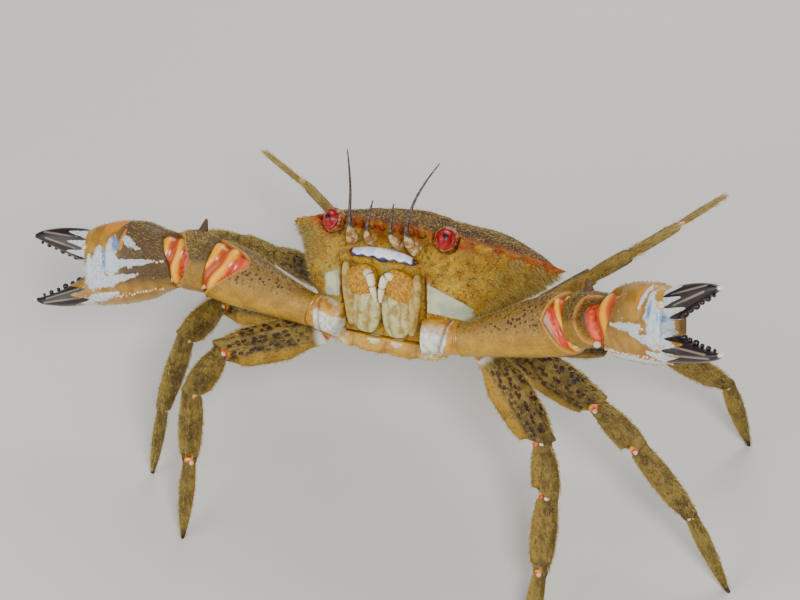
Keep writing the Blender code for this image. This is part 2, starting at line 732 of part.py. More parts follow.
def palm_and_dactyl(start, axis, before, lengths, big, side, name):
    along = axis.normalized()
    across, up = claw_frame(along, side)
    palm = lengths[3]
    finger = lengths[4]

    def station(x, low, top, half, power=2.4):
        centre = start + along * x + up * ((low + top) * 0.5 * big)
        return section(centre, across, up, half, (top - low) * 0.5 * big, CLAW_SIDES, power=power)

    depth = big * 0.62
    rows = [(-4.0, -0.56, 0.54, depth * 0.66), (0.12 * palm, -0.74, 0.74, depth * 0.82),
            (0.35 * palm, -0.92, 0.97, depth), (0.65 * palm, -1.0, 1.02, depth),
            (0.9 * palm, -1.0, 0.94, depth * 0.9), (palm, -0.99, 0.86, depth * 0.78)]
    rings = [station(*row) for row in rows]
    step = 0.6
    for place, low, top, half in ((0.0, -0.99, -0.16, 0.62), (0.3, -1.0, -0.42, 0.48), (0.6, -0.98, -0.62, 0.38),
                                  (0.85, -0.92, -0.72, 0.24)):
        rings.append(station(palm + step + (finger - step) * place, low, top, depth * half))
    rings.append([start + along * (palm + finger) - up * (0.76 * big)])
    bm = bmesh.new()
    loft(bm, rings)
    split = (before.normalized() + along).normalized()
    cut(bm, start + split * HALF_GAP, -split)
    own = finish_mesh(bm, "claw_%s_palm" % name, (0.7, 0.62, 0.45))
    pieces = []
    for k in range(FINGER_TEETH):
        place = 0.16 + 0.62 * k / (FINGER_TEETH - 1)
        level = lerp(-0.3, -0.68, smooth(place)) - 0.03
        root = start + along * (palm + finger * place) + up * (level * big - 0.5)
        size = lerp(1.3, 0.8, place)
        bm = bmesh.new()
        spike(bm, root, root + up * (size + 1.0), along, across, size * 0.8, 0.8)
        pieces.append(finish_mesh(bm, "tooth", (0.8, 0.8, 0.7)))
    union(own, pieces)

    # The movable finger opens upward from the top of the palm's far face.
    tilt = math.radians(12)
    finger_along = (along * math.cos(tilt) + up * math.sin(tilt)).normalized()
    finger_up = (up * math.cos(tilt) - along * math.sin(tilt)).normalized()
    hinge = start + along * palm + up * (0.42 * big)
    rings = []
    for place, low, top, half in ((-0.12, -0.36, 0.36, 0.55), (0.1, -0.38, 0.42, 0.52), (0.35, -0.28, 0.4, 0.44),
                                  (0.62, -0.16, 0.32, 0.34), (0.85, -0.06, 0.2, 0.22)):
        centre = hinge + finger_along * (finger * place) + finger_up * ((low + top) * 0.5 * big)
        rings.append(section(centre, across, finger_up, depth * half, (top - low) * 0.5 * big, CLAW_SIDES))
    rings.append([hinge + finger_along * finger])
    bm = bmesh.new()
    loft(bm, rings)
    cut(bm, start + along * (palm + step + GAP), -along)
    own = finish_mesh(bm, "claw_%s_dactyl" % name, (0.15, 0.07, 0.06))
    pieces = []
    for k in range(FINGER_TEETH):
        place = 0.2 + 0.6 * k / (FINGER_TEETH - 1)
        level = lerp(-0.33, -0.08, smooth(place))
        root = hinge + finger_along * (finger * place) + finger_up * (level * big + 0.5)
        size = lerp(1.3, 0.8, place)
        bm = bmesh.new()
        spike(bm, root, root - finger_up * (size + 1.0), along, across, size * 0.8, 0.8)
        pieces.append(finish_mesh(bm, "tooth", (0.8, 0.8, 0.7)))
    union(own, pieces)


def centre_on_floor():
    """Shift everything so that the middle of the bounding box stands over the origin."""
    corners = [v.co for ob in bpy.context.scene.objects for v in ob.data.vertices]
    low = [min(c[i] for c in corners) for i in range(3)]
    high = [max(c[i] for c in corners) for i in range(3)]
    shift = Vector((-(low[0] + high[0]) / 2, -(low[1] + high[1]) / 2, -low[2]))
    for ob in bpy.context.scene.objects:
        ob.data.transform(Matrix.Translation(shift))
    print("shift", [round(s, 6) for s in shift], "size", [round(b - a, 5) for a, b in zip(low, high)])


def main():
    for old in list(bpy.data.objects):
        bpy.data.objects.remove(old)
    carapace()
    eyes()
    underside()
    mouth()
    feelers()
    legs()
    claws()
    centre_on_floor()
    total = 0
    for ob in bpy.context.scene.objects:
        total += sum(len(p.vertices) - 2 for p in ob.data.polygons)
    print("objects", len(bpy.context.scene.objects), "triangles", total)


main()
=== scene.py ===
# %% [markdown]
# Velvet crab, a life-size still model. This notebook dresses the imported frame: each piece below is made
# in Blender from the same sizes as the solid it stands for, so that it lies where the frame says. The
# frame is loaded first, and the box of the dressed model is printed at the end.
# %% Load the frame
import math
from functools import partial

import bmesh
import bpy
import numpy as np
from mathutils import Matrix, Vector


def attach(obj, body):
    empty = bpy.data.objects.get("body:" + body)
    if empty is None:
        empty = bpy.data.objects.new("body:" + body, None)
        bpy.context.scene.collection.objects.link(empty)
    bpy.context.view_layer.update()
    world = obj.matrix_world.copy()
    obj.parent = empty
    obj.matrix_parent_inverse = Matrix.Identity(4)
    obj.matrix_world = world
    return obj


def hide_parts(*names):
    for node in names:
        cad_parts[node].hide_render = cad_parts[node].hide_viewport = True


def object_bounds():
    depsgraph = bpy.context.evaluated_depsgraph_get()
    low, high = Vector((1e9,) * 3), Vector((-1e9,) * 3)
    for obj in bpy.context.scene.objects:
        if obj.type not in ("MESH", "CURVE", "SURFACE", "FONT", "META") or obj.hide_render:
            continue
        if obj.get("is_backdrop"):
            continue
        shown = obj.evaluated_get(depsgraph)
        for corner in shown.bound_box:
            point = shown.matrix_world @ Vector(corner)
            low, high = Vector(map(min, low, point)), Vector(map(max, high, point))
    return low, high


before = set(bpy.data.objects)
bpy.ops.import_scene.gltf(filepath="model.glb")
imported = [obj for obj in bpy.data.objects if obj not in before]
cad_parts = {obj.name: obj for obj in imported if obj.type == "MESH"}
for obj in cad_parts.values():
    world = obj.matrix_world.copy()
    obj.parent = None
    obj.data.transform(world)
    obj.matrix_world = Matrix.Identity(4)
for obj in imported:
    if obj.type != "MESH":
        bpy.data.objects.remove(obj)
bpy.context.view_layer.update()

# %% [markdown]
# The solids were drawn in millimetres in a frame of the crab's own body: x to its left, y to its back and
# z out of its back, with the origin at the middle of the front edge. The body is tipped nose up and
# rolled left side up. These few values put a point of that frame into the model, so they are repeated
# here.
# %% The body frame
MM = 0.001
PITCH = math.radians(45.2)
ROLL = math.radians(14.3)
ORIGIN = np.array((-2.914, -14.144, 73.0))
SIDES = ((1, "left"), (-1, "right"))


def body_axes():
    back = Vector((0, math.cos(PITCH), -math.sin(PITCH)))
    up = Vector((0, math.sin(PITCH), math.cos(PITCH)))
    left = Vector((1, 0, 0)) * math.cos(ROLL) + up * math.sin(ROLL)
    return left, back, left.cross(back)


LEFT, BACK, DORSAL = (np.array(v) for v in body_axes())


def vector(x, y, z):
    return np.multiply.outer(x, LEFT) + np.multiply.outer(y, BACK) + np.multiply.outer(z, DORSAL)


def body(x, y, z):
    return ORIGIN + vector(x, y, z)

print("body axes", LEFT.round(3), BACK.round(3), DORSAL.round(3))

# %% [markdown]
# A living form has few straight lines and no hard steps. These few functions give a direction, a soft
# step from 0 to 1, and a bell that is 1 at a line and fades beside it. They could be curves drawn by
# hand, but as functions they serve the shapes, the reliefs and the masks alike.
# %% Small helpers
def unit(v):
    return v / np.linalg.norm(v)


def direction(heading, rise):
    a, e = math.radians(heading), math.radians(rise)
    return np.array((math.cos(a) * math.cos(e), math.sin(a) * math.cos(e), math.sin(e)))


def smooth(t):
    t = np.clip(t, 0.0, 1.0)
    return t * t * (3 - 2 * t)


def bell(t):
    return np.exp(-np.square(t))


def lerp(a, b, t):
    return a + (b - a) * t

print("half way up a smooth step", smooth(0.5))

# %% [markdown]
# Two kinds of smooth curve carry every shape. A closed outline is a Catmull-Rom curve through its points,
# as in the source of the solids. A limb swells and narrows along its length, so its width and height are
# read from a curve that never overshoots its stations.
# %% Curves through points
def spline(points, t):
    points = np.array(points, float)
    last = len(points) - 1
    k = np.clip(t.astype(int), 0, last - 1)
    f = (t - k)[:, None]
    a, b, c, d = (points[np.clip(k + j, 0, last)] for j in (-1, 0, 1, 2))
    return 0.5 * (2 * b + (c - a) * f + (2 * a - 5 * b + 4 * c - d) * f * f
        + (3 * b - a - 3 * c + d) * f ** 3)


def flow(x, knots, values):
    knots, values = np.array(knots, float), np.array(values, float)
    steps = np.diff(values) / np.diff(knots)
    both = steps[1:] * steps[:-1]
    slope = np.zeros(len(knots))
    slope[1:-1] = np.where(both > 0, 2 * both / np.where(both > 0, steps[1:] + steps[:-1], 1), 0)
    slope[0], slope[-1] = steps[0], steps[-1]
    k = np.clip(np.searchsorted(knots, x) - 1, 0, len(knots) - 2)
    h = knots[k + 1] - knots[k]
    t = np.clip((x - knots[k]) / h, 0, 1)
    a, b = values[k], values[k + 1]
    return (a * (2 * t ** 3 - 3 * t * t + 1) + b * (3 * t * t - 2 * t ** 3)
            + h * slope[k] * (t ** 3 - 2 * t * t + t) + h * slope[k + 1] * (t ** 3 - t * t))

print("flow at a half", flow(np.array([0.5]), (0, 1), (0, 2)))

# %% [markdown]
# Every shell is a skin: a flat grid, rolled round and closed at both ends, that one function lays over
# the real form. The same function gives the roots of the hairs later. The grid's own coordinates and a
# few masks are kept on the mesh as attributes, in millimetres, and the materials read those, so a pattern
# of rows or spots follows the limb it is on and has its real size.
# %% Skins
def empty():
    return bmesh.new()


def skin(place, along, around):
    """Roll a grid into a closed skin; place(u, w) gives points in millimetres."""
    bm = bmesh.new()
    bmesh.ops.create_grid(bm, x_segments=along, y_segments=around, size=0.5)
    u = np.array([v.co.x for v in bm.verts]) + 0.5
    w = np.array([v.co.y for v in bm.verts]) + 0.5
    points = place(np.clip(u, 0, 1), np.clip(w, 0, 1))
    down = bm.verts.layers.float.new("grid_along")
    for v, p, t in zip(bm.verts, points.tolist(), u.tolist()):
        v.co = p
        v[down] = t
    bmesh.ops.remove_doubles(bm, verts=bm.verts, dist=0.004)
    bmesh.ops.recalc_face_normals(bm, faces=bm.faces)
    return bm

print("a skin of 4 by 6 has", len(skin(lambda u, w: np.stack((u, w, u * w), 1), 4, 6).faces), "faces")

# %% [markdown]
# Knobs, beads, hips and eyes start from Blender's own sphere, and teeth and spines from its cone. Each
# operator takes a matrix, so a ball is stretched and turned while it is made.
# %% Skins: balls and cones
def ball(bm, centre, radii, axes=None, detail=2):
    """A small smooth body: a sphere of three radii along three axes."""
    axes = np.eye(3) if axes is None else axes
    matrix = Matrix([[axes[j][i] * radii[j] for j in range(3)] + [centre[i]] for i in range(3)]
        + [[0, 0, 0, 1]])
    bmesh.ops.create_icosphere(bm, subdivisions=detail, radius=1.0, matrix=matrix)


def cone(bm, root, tip, radius, sides=8):
    """A tapering tooth from a root point to a point that is slightly blunt."""
    root, tip = Vector(root), Vector(tip)
    along = tip - root
    matrix = Matrix.Translation((root + tip) / 2) @ along.to_track_quat("Z", "Y").to_matrix().to_4x4()
    bmesh.ops.create_cone(bm, cap_ends=True, segments=sides, radius1=radius, radius2=radius * 0.12,
                          depth=along.length, matrix=matrix)

print("balls and cones ready")

# %% [markdown]
# Masks are worked out from the places of a skin's own points, and two forms that belong to one piece are
# joined in one mesh. Numpy does this for all points at once, which keeps the script quick.
# %% Skins: read and join
def points_of(bm):
    return np.array([v.co[:] for v in bm.verts])


def grid_along(bm):
    layer = bm.verts.layers.float["grid_along"]
    return np.array([v[layer] for v in bm.verts])


def show(name, data):
    """Put a new object in the scene, at the origin."""
    made = bpy.data.objects.new(name, data)
    bpy.context.scene.collection.objects.link(made)
    return made


def add_mesh(bm, other):
    mesh = bpy.data.meshes.new("part")
    other.to_mesh(mesh)
    bm.from_mesh(mesh)
    other.free()

print("points of an empty mesh", len(empty().verts))

# %% [markdown]
# A finished piece is a mesh in metres with its object at the origin. It rides on the one body, hides the
# solid it stands for, and carries its masks as attributes, so the same material can serve left and right.
# %% Skins: finish a piece
PIECES = {}


def register(mesh, name, material, replaces=()):
    """Show a mesh as a piece: its material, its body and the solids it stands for."""
    mesh.materials.append(material)
    piece = show(name, mesh)
    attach(piece, "root")
    if replaces:
        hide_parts(*replaces)
    PIECES[name] = piece


def finish(bm, name, material, replaces=(), masks=None):
    """Make the piece, in metres, with its attributes, material, slot and body."""
    for v in bm.verts:
        v.co *= MM
    bmesh.ops.recalc_face_normals(bm, faces=bm.faces)
    mesh = bpy.data.meshes.new(name)
    bm.to_mesh(mesh)
    bm.free()
    mesh.shade_smooth()
    for key, values in (masks or {}).items():
        values = np.asarray(values, np.float32)
        kind = "FLOAT_VECTOR" if values.ndim == 2 else "FLOAT"
        layer = mesh.attributes.new(key, kind, "POINT")
        layer.data.foreach_set("vector" if values.ndim == 2 else "value", values.ravel())
    register(mesh, name, material, replaces)

print("pieces so far", len(PIECES))

# %% [markdown]
# Each material is a small node tree on one Principled shader. Nodes could be added by hand in the shader
# editor; here one function adds any node, sets its inputs and makes its links, so that a finish reads
# like a recipe. What differs between the kinds is written once as data: the node, its fixed settings, the
# sockets that the values go to, and the socket that comes out. Colours are written as they look on a
# screen, and one function turns them to linear light. Patterns read millimetres, so a scale of 2 makes
# cells of half a millimetre.
# %% Materials: colours, nodes and links
PLACE = ("Attribute", {}, (), "Vector")                         # a position that the mesh carries
READ = ("Attribute", {}, (), "Fac")                             # a mask that the mesh carries
MIX = ("Mix", {"data_type": "RGBA"}, (0, 6, 7), 2)              # factor, colour below, colour above
TIMES = ("Math", {"operation": "MULTIPLY"}, (0, 1), 0)
PLUS = ("Math", {"operation": "ADD"}, (0, 1), 0)
LESS = ("Math", {"operation": "SUBTRACT"}, (0, 1), 0)
STRETCH = ("VectorMath", {"operation": "MULTIPLY"}, (0, 1), 0)  # a position, finer along one axis
STEP = ("MapRange", {"interpolation_type": "SMOOTHSTEP"}, (0, 1, 2, 3, 4), 0)   # a range as a soft mask
NOISE = ("TexNoise", {}, ("Vector", "Scale", "Detail", "Roughness"), "Fac")     # clouds and grain
SPOTS = ("TexVoronoi", {}, ("Vector", "Scale", "Randomness"), "Distance")       # how far the next point is
BUMP = ("Bump", {}, ("Height", "Distance", "Normal"), 0)        # relief of a depth in metres


def colour(code):
    parts = [int(code[i:i + 2], 16) / 255 for i in (1, 3, 5)]
    return tuple(c / 12.92 if c <= 0.04045 else ((c + 0.055) / 1.055) ** 2.4 for c in parts) + (1.0,)


def join(value, socket):
    """Link a socket, or set it to a number, a vector or a colour."""
    if isinstance(value, bpy.types.NodeSocket):
        socket.id_data.links.new(value, socket)
    else:
        socket.default_value = colour(value) if isinstance(value, str) else value


def add_node(tree, made, *values, **settings):
    """Add one node with its settings and links, and give its output."""
    kind, fixed, sockets, output = made
    node = tree.nodes.new("ShaderNode" + kind)
    for key, value in {**fixed, **settings}.items():
        setattr(node, key, value)
    for socket, value in zip(sockets, values):
        join(value, node.inputs[socket])
    return node.outputs[output]


def begin(name, *attributes):
    """A new material, its shader, the function that adds its nodes, and the mesh attributes it reads."""
    material = bpy.data.materials.new(name)
    material.use_nodes = True
    add = partial(add_node, material.node_tree)
    shader = material.node_tree.nodes["Principled BSDF"]
    return (material, shader, add,
            *[add(PLACE if key == "mm" else READ, attribute_name=key) for key in attributes])


def feed(shader, **inputs):
    """Set or link the sockets of the shader itself."""
    for key, value in inputs.items():
        join(value, shader.inputs[key.replace("_", " ")])

print("white is", [round(c, 2) for c in colour("#FFFFFF")])

# %% [markdown]
# This shell is chitin hardened with lime, under a dense felt of hairs less than a millimetre long, which
# hides the gloss and looks speckled and velvety, so it is rough. Low beside the mouth a smooth bare patch
# shines bluish white. The felt is golden over the face and browner over the back. Real hairs stand about
# a tenth of a millimetre apart, too fine to show here, so the felt is drawn in grains of 0.4 and 0.6 mm.
# %% Material: felted body shell
# Tint, cells to the millimetre, detail, roughness, the range that shows and its strength.
FELT_TINTS = (("#80500E", 0.4, 4, 0.5, 0.5, 0.66, 0.7), ("#A8984C", 0.28, 3, 0.5, 0.52, 0.66, 0.6),
              ("#5E380C", 1.1, 4, 0.7, 0.53, 0.62, 0.8), ("#E2C060", 1.4, 3, 0.7, 0.57, 0.66, 0.65))


SHELL, shader, add, mm, back, patch, warm, crease_shade = begin(
    "felted_body_shell", "mm", "dorsal", "patch", "warm", "crease_shade")
clouds = add(NOISE, mm, 0.16, 3)
felt = add(NOISE, mm, 2.6, 4, 0.7)
hairs = add(NOISE, add(STRETCH, mm, (1, 1, 3)), 1.6, 3, 0.6)
dots = add(SPOTS, mm, 1.0)
gold = add(MIX, add(STEP, clouds, 0.36, 0.62), "#AC7C0E", "#CEA226")
for tint, scale, detail, roughness, low, high, most in FELT_TINTS:
    cells = add(NOISE, mm, scale, detail, roughness)
    gold = add(MIX, add(STEP, cells, low, high, 0, most), gold, tint)
brown = add(MIX, add(STEP, clouds, 0.4, 0.6), "#46290E", "#6A441A")
base = add(MIX, back, gold, brown)
patchy = add(TIMES, warm, add(STEP, add(NOISE, mm, 0.45, 4, 0.6), 0.38, 0.56, 0.15, 1.0))
base = add(MIX, patchy, base, add(MIX, add(STEP, add(NOISE, mm, 0.9, 4, 0.6), 0.42, 0.6), "#8E2404",
    "#C4540E"))
speckle = add(TIMES, add(STEP, felt, 0.56, 0.7), add(STEP, patch, 0.2, 0.0))
base = add(MIX, add(TIMES, speckle, 0.75), base, "#3A2413")
pale = add(TIMES, add(STEP, dots, 0.22, 0.1), add(STEP, patch, 0.2, 0.0, 0, 0.35))
base = add(MIX, pale, base, "#E0C68A")
ragged = add(STEP, add(PLUS, patch, add(TIMES, add(NOISE, mm, 0.5, 4), 0.9)), 0.72, 1.2)
bare = add(MIX, add(STEP, add(NOISE, mm, 0.3, 2), 0.4, 0.65), "#C6C89E", "#A6B098")
base = add(MIX, ragged, base, bare)
# Painted shade: the groove beside the mouth frame is darkened in the colour.
base = add(MIX, crease_shade, base, "#54260F")
depth = add(TIMES, add(STEP, ragged, 0.0, 1.0, 1.0, 0.05), felt)
rough = add(STEP, ragged, 0, 1, 0.72, 0.32)
feed(shader, Base_Color=base, Roughness=rough,
    Normal=add(BUMP, depth, 0.5 * MM, add(BUMP, hairs, 0.12 * MM)), IOR=1.4)
print("made", SHELL.name)

# %% [markdown]
# The body is one skin that runs from the middle of the back, over the toothed rim, down the walls and the
# flat mouth field to the edge that the limbs leave from, and closes underneath. The teeth are drawn out
# of the rim itself, as they grow, and the two eye sockets are cut with a sphere each.
# %% Body shell: outlines and teeth
DOME_HEIGHT, RIM_DROP, LIP_Z, WALL_BULGE = 6.4, 1.2, -2.2, 2.2
RIM = [(0, 0.3), (9.5, 0.3), (12.5, 2.6), (17.5, 3.2), (21, 5.5), (25, 9.5), (29, 14.5), (32, 20),
       (33.5, 25.5), (31, 31), (25, 40.5), (18.5, 49.5), (13.5, 52.6), (7, 53.2), (0, 53.2)]
BASE = [(0, 12), (7.5, 12), (9.5, 12), (11.5, 12), (13.3, 12.2), (14.6, 12.6), (15.1, 15), (14.7, 19),
        (14.2, 24), (13.7, 29), (13, 36), (12.1, 44), (9.5, 48.5), (5, 50), (0, 50)]
BASE_FRONT_Y, BASE_FRONT_Z, BASE_RISE = 12.0, -24.6, 0.31
BAND_OUT, BAND_UP = 5.0, 7.5
FACE_TOP_Y, FACE_TOP_Z = 3.2, -8.0
SIDE_TEETH = [(19.2, 4.4, 3.6, -62), (23.4, 8.0, 3.4, -47), (27.6, 12.8, 3.6, -36), (31.0, 18.2, 3.6, -27),
              (33.0, 24.2, 4.0, -12)]
TOOTH_HALF = 3.0
SHELL_GRID = (236, 376)
RIM_END, WALL_END, BAND_END = 0.42, 0.86, 0.9  # where the back, the walls and the foot end on the grid
EYE = (15.2, 2.2, -0.6)
EYE_RADIUS, SOCKET_RADIUS = 2.9, 3.5

RIM_STEPS = np.linspace(0, len(RIM) - 1, 800)
RIM_LINE = spline(RIM, RIM_STEPS)
RIM_ARC = np.concatenate(([0], np.cumsum(np.linalg.norm(np.diff(RIM_LINE, axis=0), axis=1))))

print("rim points", len(RIM), "half rim", round(float(RIM_ARC[-1]), 1), "mm")

# %% [markdown]
# The lower edge rises to the back, the mouth field leans back as it goes down, and five teeth stand on
# each side of the margin. The rim's arc length is measured once, so that each tooth is placed where the
# real one grows.
# %% Body shell: foot, face and teeth
def base_height(y):
    return BASE_FRONT_Z + (y - BASE_FRONT_Y) * BASE_RISE


def face_y(z):
    return FACE_TOP_Y + (FACE_TOP_Z - z) * (BASE_FRONT_Y - FACE_TOP_Y) / (FACE_TOP_Z - BASE_FRONT_Z)


def tooth_shift(arc):
    """How far the rim is drawn out at an arc length, as x and y and a share of the tooth's height."""
    dx, dy, share = np.zeros_like(arc), np.zeros_like(arc), np.zeros_like(arc)
    for x, y, length, heading in SIDE_TEETH:
        near = RIM_ARC[np.argmin(np.hypot(RIM_LINE[:, 0] - x, RIM_LINE[:, 1] - y))]
        peak = np.clip(1 - np.abs(arc - near) / TOOTH_HALF, 0, 1) ** 1.25
        a = math.radians(heading)
        dx += peak * length * math.cos(a)
        dy += peak * length * math.sin(a)
        share = np.maximum(share, peak)
    return dx, dy, share

print("side teeth", len(SIDE_TEETH) * 2)

# %% [markdown]
# The back has swollen lobes over the organs, with grooves between them and three fine cross ridges. They
# could be sculpted; as a height over the plan of the back they can be read, and changed by a number.
# %% Body shell: lobes of the back
def dome_relief(x, y):
    """The lobes and ridges of the back, in millimetres."""
    x = np.abs(x)
    lobes = (0.8 * bell(np.hypot(x, (y - 17) * 0.9) / 8) + 0.6 * bell(np.hypot(x * 1.2, y - 36) / 6)
             + 0.7 * bell(np.hypot(x - 18, y - 30) / 8) + 0.5 * bell(np.hypot(x - 21, y - 15) / 5))
    groove_highlight_and_shade = (0.7 * bell((x - 6.5 - 0.25 * (y - 26)) / 1.3) * bell((y - 27) / 7)
              + 0.6 * bell((y - 20.5 + 0.25 * x) / 1.2) * smooth((x - 5) / 4) * smooth((24 - x) / 6))
    ridges = 0.35 * (bell((y - 25 - 0.05 * x) / 0.45) * smooth((x - 10) / 5)
        + bell((y - 12.5) / 0.4) * smooth((13 - x) / 2) + bell((y - 17.5) / 0.4) * smooth((15 - x) / 2))
    return lobes - groove_highlight_and_shade + ridges

print("lobe at the middle", dome_relief(np.array(0.0), np.array(17.0)).round(2), "mm")

# %% [markdown]
# One function says where each point of the grid lies: first the dome, then over the rim and down the wall
# or the face, then in under the foot. One skin has no seams to hide, which separate panels would have.
# %% Body shell: one closed skin
def shell_place(u, w):
    half = 1 - np.abs(1 - 2 * w)
    side = np.where(w < 0.5, 1.0, -1.0)
    arc = half * RIM_ARC[-1]
    t = np.interp(arc, RIM_ARC, RIM_STEPS)
    rim, base = spline(RIM, t), spline(BASE, t)
    rx, ry, bx, by = rim[:, 0], rim[:, 1], base[:, 0], base[:, 1]
    dx, dy, share = tooth_shift(arc)

    s = np.clip(u / RIM_END, 0, 1) ** 0.8
    drawn = smooth((s - 0.86) / 0.14)
    x0 = rx * s + dx * drawn
    y0 = 26 + (ry - 26) * s + dy * drawn
    z0 = DOME_HEIGHT * (1 - s ** 2.6) + 0.25 + dome_relief(x0, y0) * smooth((1 - s) / 0.1)
    z0 = lerp(z0, -0.5, share * drawn * 0.9)

    step = np.clip((u - 0.45) / 0.41, 0, 1)
    front = np.where(ry < 30, 1 - smooth((rx - 12.5) / 6), 0.0)
    zb = base_height(by)
    lift = smooth(np.minimum((by - 12) / 2, (50 - by) / 4))
    bulge = WALL_BULGE * np.sin(np.pi * step) * (1 - 1.4 * smooth((ry - 22) / 18))
    sx = lerp(rx, bx + BAND_OUT * lift, step) + bulge * 0.8
    sy = lerp(ry, by, step) + np.where(ry > 45, bulge * 0.7, 0)
    sz = lerp(-RIM_DROP, zb + BAND_UP * lift, step ** 0.85)
    fz = lerp(LIP_Z, zb, step)
    fy = lerp(np.maximum(face_y(fz), FACE_TOP_Y + 0.2), by, smooth((step - 0.9) / 0.1))
    fx = lerp(rx, bx, step)
    keep = 1 - smooth(step / 0.12)
    x1 = lerp(sx, fx, front) + dx * keep
    y1 = lerp(sy, fy, front) + dy * keep
    z1 = lerp(lerp(sz, fz, front), -0.6, share * keep * 0.85)

    over = smooth((u - RIM_END) / 0.03)
    x, y, z = lerp(x0, x1, over), lerp(y0, y1, over), lerp(z0, z1, over)
    foot = np.clip((u - WALL_END) / 0.04, 0, 1)
    x, y, z = lerp(x, bx, foot), lerp(y, by, foot), lerp(z, zb, foot)
    close = 1 - np.clip((u - BAND_END) / 0.1, 0, 1)
    shut = u > BAND_END
    y = np.where(shut, 31 + (by - 31) * close, y)
    x = np.where(shut, bx * close, x)
    z = np.where(shut, base_height(y), z)
    return body(side * x, y, z)

print("nose of the skin", shell_place(np.array([0.0]), np.array([0.5])).round(1))

# %% [markdown]
# Each eye sits in a round notch of the margin. A Boolean with a ball cuts it as cleanly as a drill would,
# and is applied at once, so that nothing is left on the piece.
# %% Body shell: eye sockets
def to_body(points):
    q = points - ORIGIN
    return np.stack((q @ LEFT, q @ BACK, q @ DORSAL), 1)


def cut_sockets(bm):
    """Cut a ball out of the front margin on each side, with a Boolean applied at once."""
    for side in (1, -1):
        cutter = empty()
        ball(cutter, body(side * EYE[0], EYE[1] - 0.3, EYE[2]), (SOCKET_RADIUS + 0.15,) * 3, detail=5)
        hosts = []
        for form, name in ((bm, "socket_host"), (cutter, "socket_ball")):
            mesh = bpy.data.meshes.new(name)
            form.to_mesh(mesh)
            hosts.append(show(name, mesh))
        cut = hosts[0].modifiers.new("socket", "BOOLEAN")
        cut.operation, cut.solver, cut.object = "DIFFERENCE", "FAST", hosts[1]
        graph = bpy.context.evaluated_depsgraph_get()
        result = bpy.data.meshes.new_from_object(hosts[0].evaluated_get(graph))
        for host in hosts:
            bpy.data.objects.remove(host)
        bm.free()
        cutter.free()
        bm = empty()
        bm.from_mesh(result)
    return bm

print("body place of the origin", to_body(ORIGIN[None]).round(1))

# %% [markdown]
# A raised frame runs round the mouth, the wall swells beside it, and a lip lies under each eye. They are
# drawn out along the normals, because they are lower than the grid is wide and follow the form that is
# there.
# %% Body shell: relief of the walls
def raise_along_normals(bm, heights):
    bm.normal_update()
    for v, h in zip(bm.verts, heights.tolist()):
        v.co += v.normal * h


def wall_relief(q):
    """The frame round the mouth, the swelling beside it and the lip under each eye."""
    x, y, z = np.abs(q[:, 0]), q[:, 1], q[:, 2]
    low = smooth((-z - 2.5) / 1.5)
    frame_height = smooth((-z - 8.5) / 2) * smooth((z + 24) / 2)
    ahead = smooth((16 - y) / 4)
    rise = (0.8 * bell((x - 11.9) / 0.7) * frame_height * ahead
            - 0.7 * bell((x - 11.0) / 0.45) * frame_height * ahead)
    rise += 1.0 * bell(np.hypot((x - 20) / 6, (z + 12.5) / 5)) * low
    rise -= (0.45 * bell((z + 9.2 - 0.06 * np.clip(x - 13, 0, None) ** 1.3) / 0.8)
             * smooth((x - 13.5) / 2) * smooth((30 - x) / 6) * low)
    eye = np.linalg.norm(q * (np.sign(q[:, 0])[:, None] ** np.array([[1, 0, 0]])) - np.array(EYE), axis=1)
    rise += 0.5 * bell((eye - 4.1) / 0.45) * (z < 0.6)
    return rise

print("relief ready")

# %% [markdown]
# The masks mark what the felt leaves bare and where the shell is orange or brown, and they paint shade
# dark into the crease beside the mouth frame. They are worked out from the finished points, so that colour
# and form stay together.
# %% Body shell: the piece and its masks
def carapace_shell():
    bm = skin(shell_place, *SHELL_GRID)
    q = to_body(points_of(bm))
    raise_along_normals(bm, wall_relief(q))
    bm = cut_sockets(bm)
    q = to_body(points_of(bm))
    x, y, z = np.abs(q[:, 0]), q[:, 1], q[:, 2]
    eye = np.linalg.norm(np.stack((x, y, z), 1) - np.array(EYE), axis=1)
    margin = bell((z + 0.6) / 2.0) * smooth((30 - y) / 6)
    warm = np.clip(margin * smooth((x - 15) / 5) * 0.9 + bell((eye - 3.6) / 1.3) * 0.8
                   + margin * smooth((11 - x) / 2) * smooth((8 - y) / 5), 0, 1)
    warm *= smooth((3.5 - z) / 2)
    reach = np.where(q[:, 0] > 0, 23.5, 18.0)
    top = -11.0 - 0.30 * (x - 12)
    patch = (smooth((x - 11.7) / 0.5) * smooth((reach - x) / 3.0) * smooth((top - z) / 0.7)
             * smooth((z + 18.0) / 0.8) * (y < 20))
    # Painted shade: a dark band laid in the crease beside the mouth frame.
    crease_shade = bell((x - 11.2) / 0.45) * smooth((-z - 8.5) / 2) * smooth((z + 23.5) / 2) * (y < 14)
    masks = {"mm": q, "dorsal": smooth((z + 0.4) / 1.6), "patch": patch, "warm": warm, "crease_shade": crease_shade}
    finish(bm, "carapace_shell", SHELL, ("carapace",), masks)


carapace_shell()
print("shell faces", len(PIECES["carapace_shell"].data.polygons))

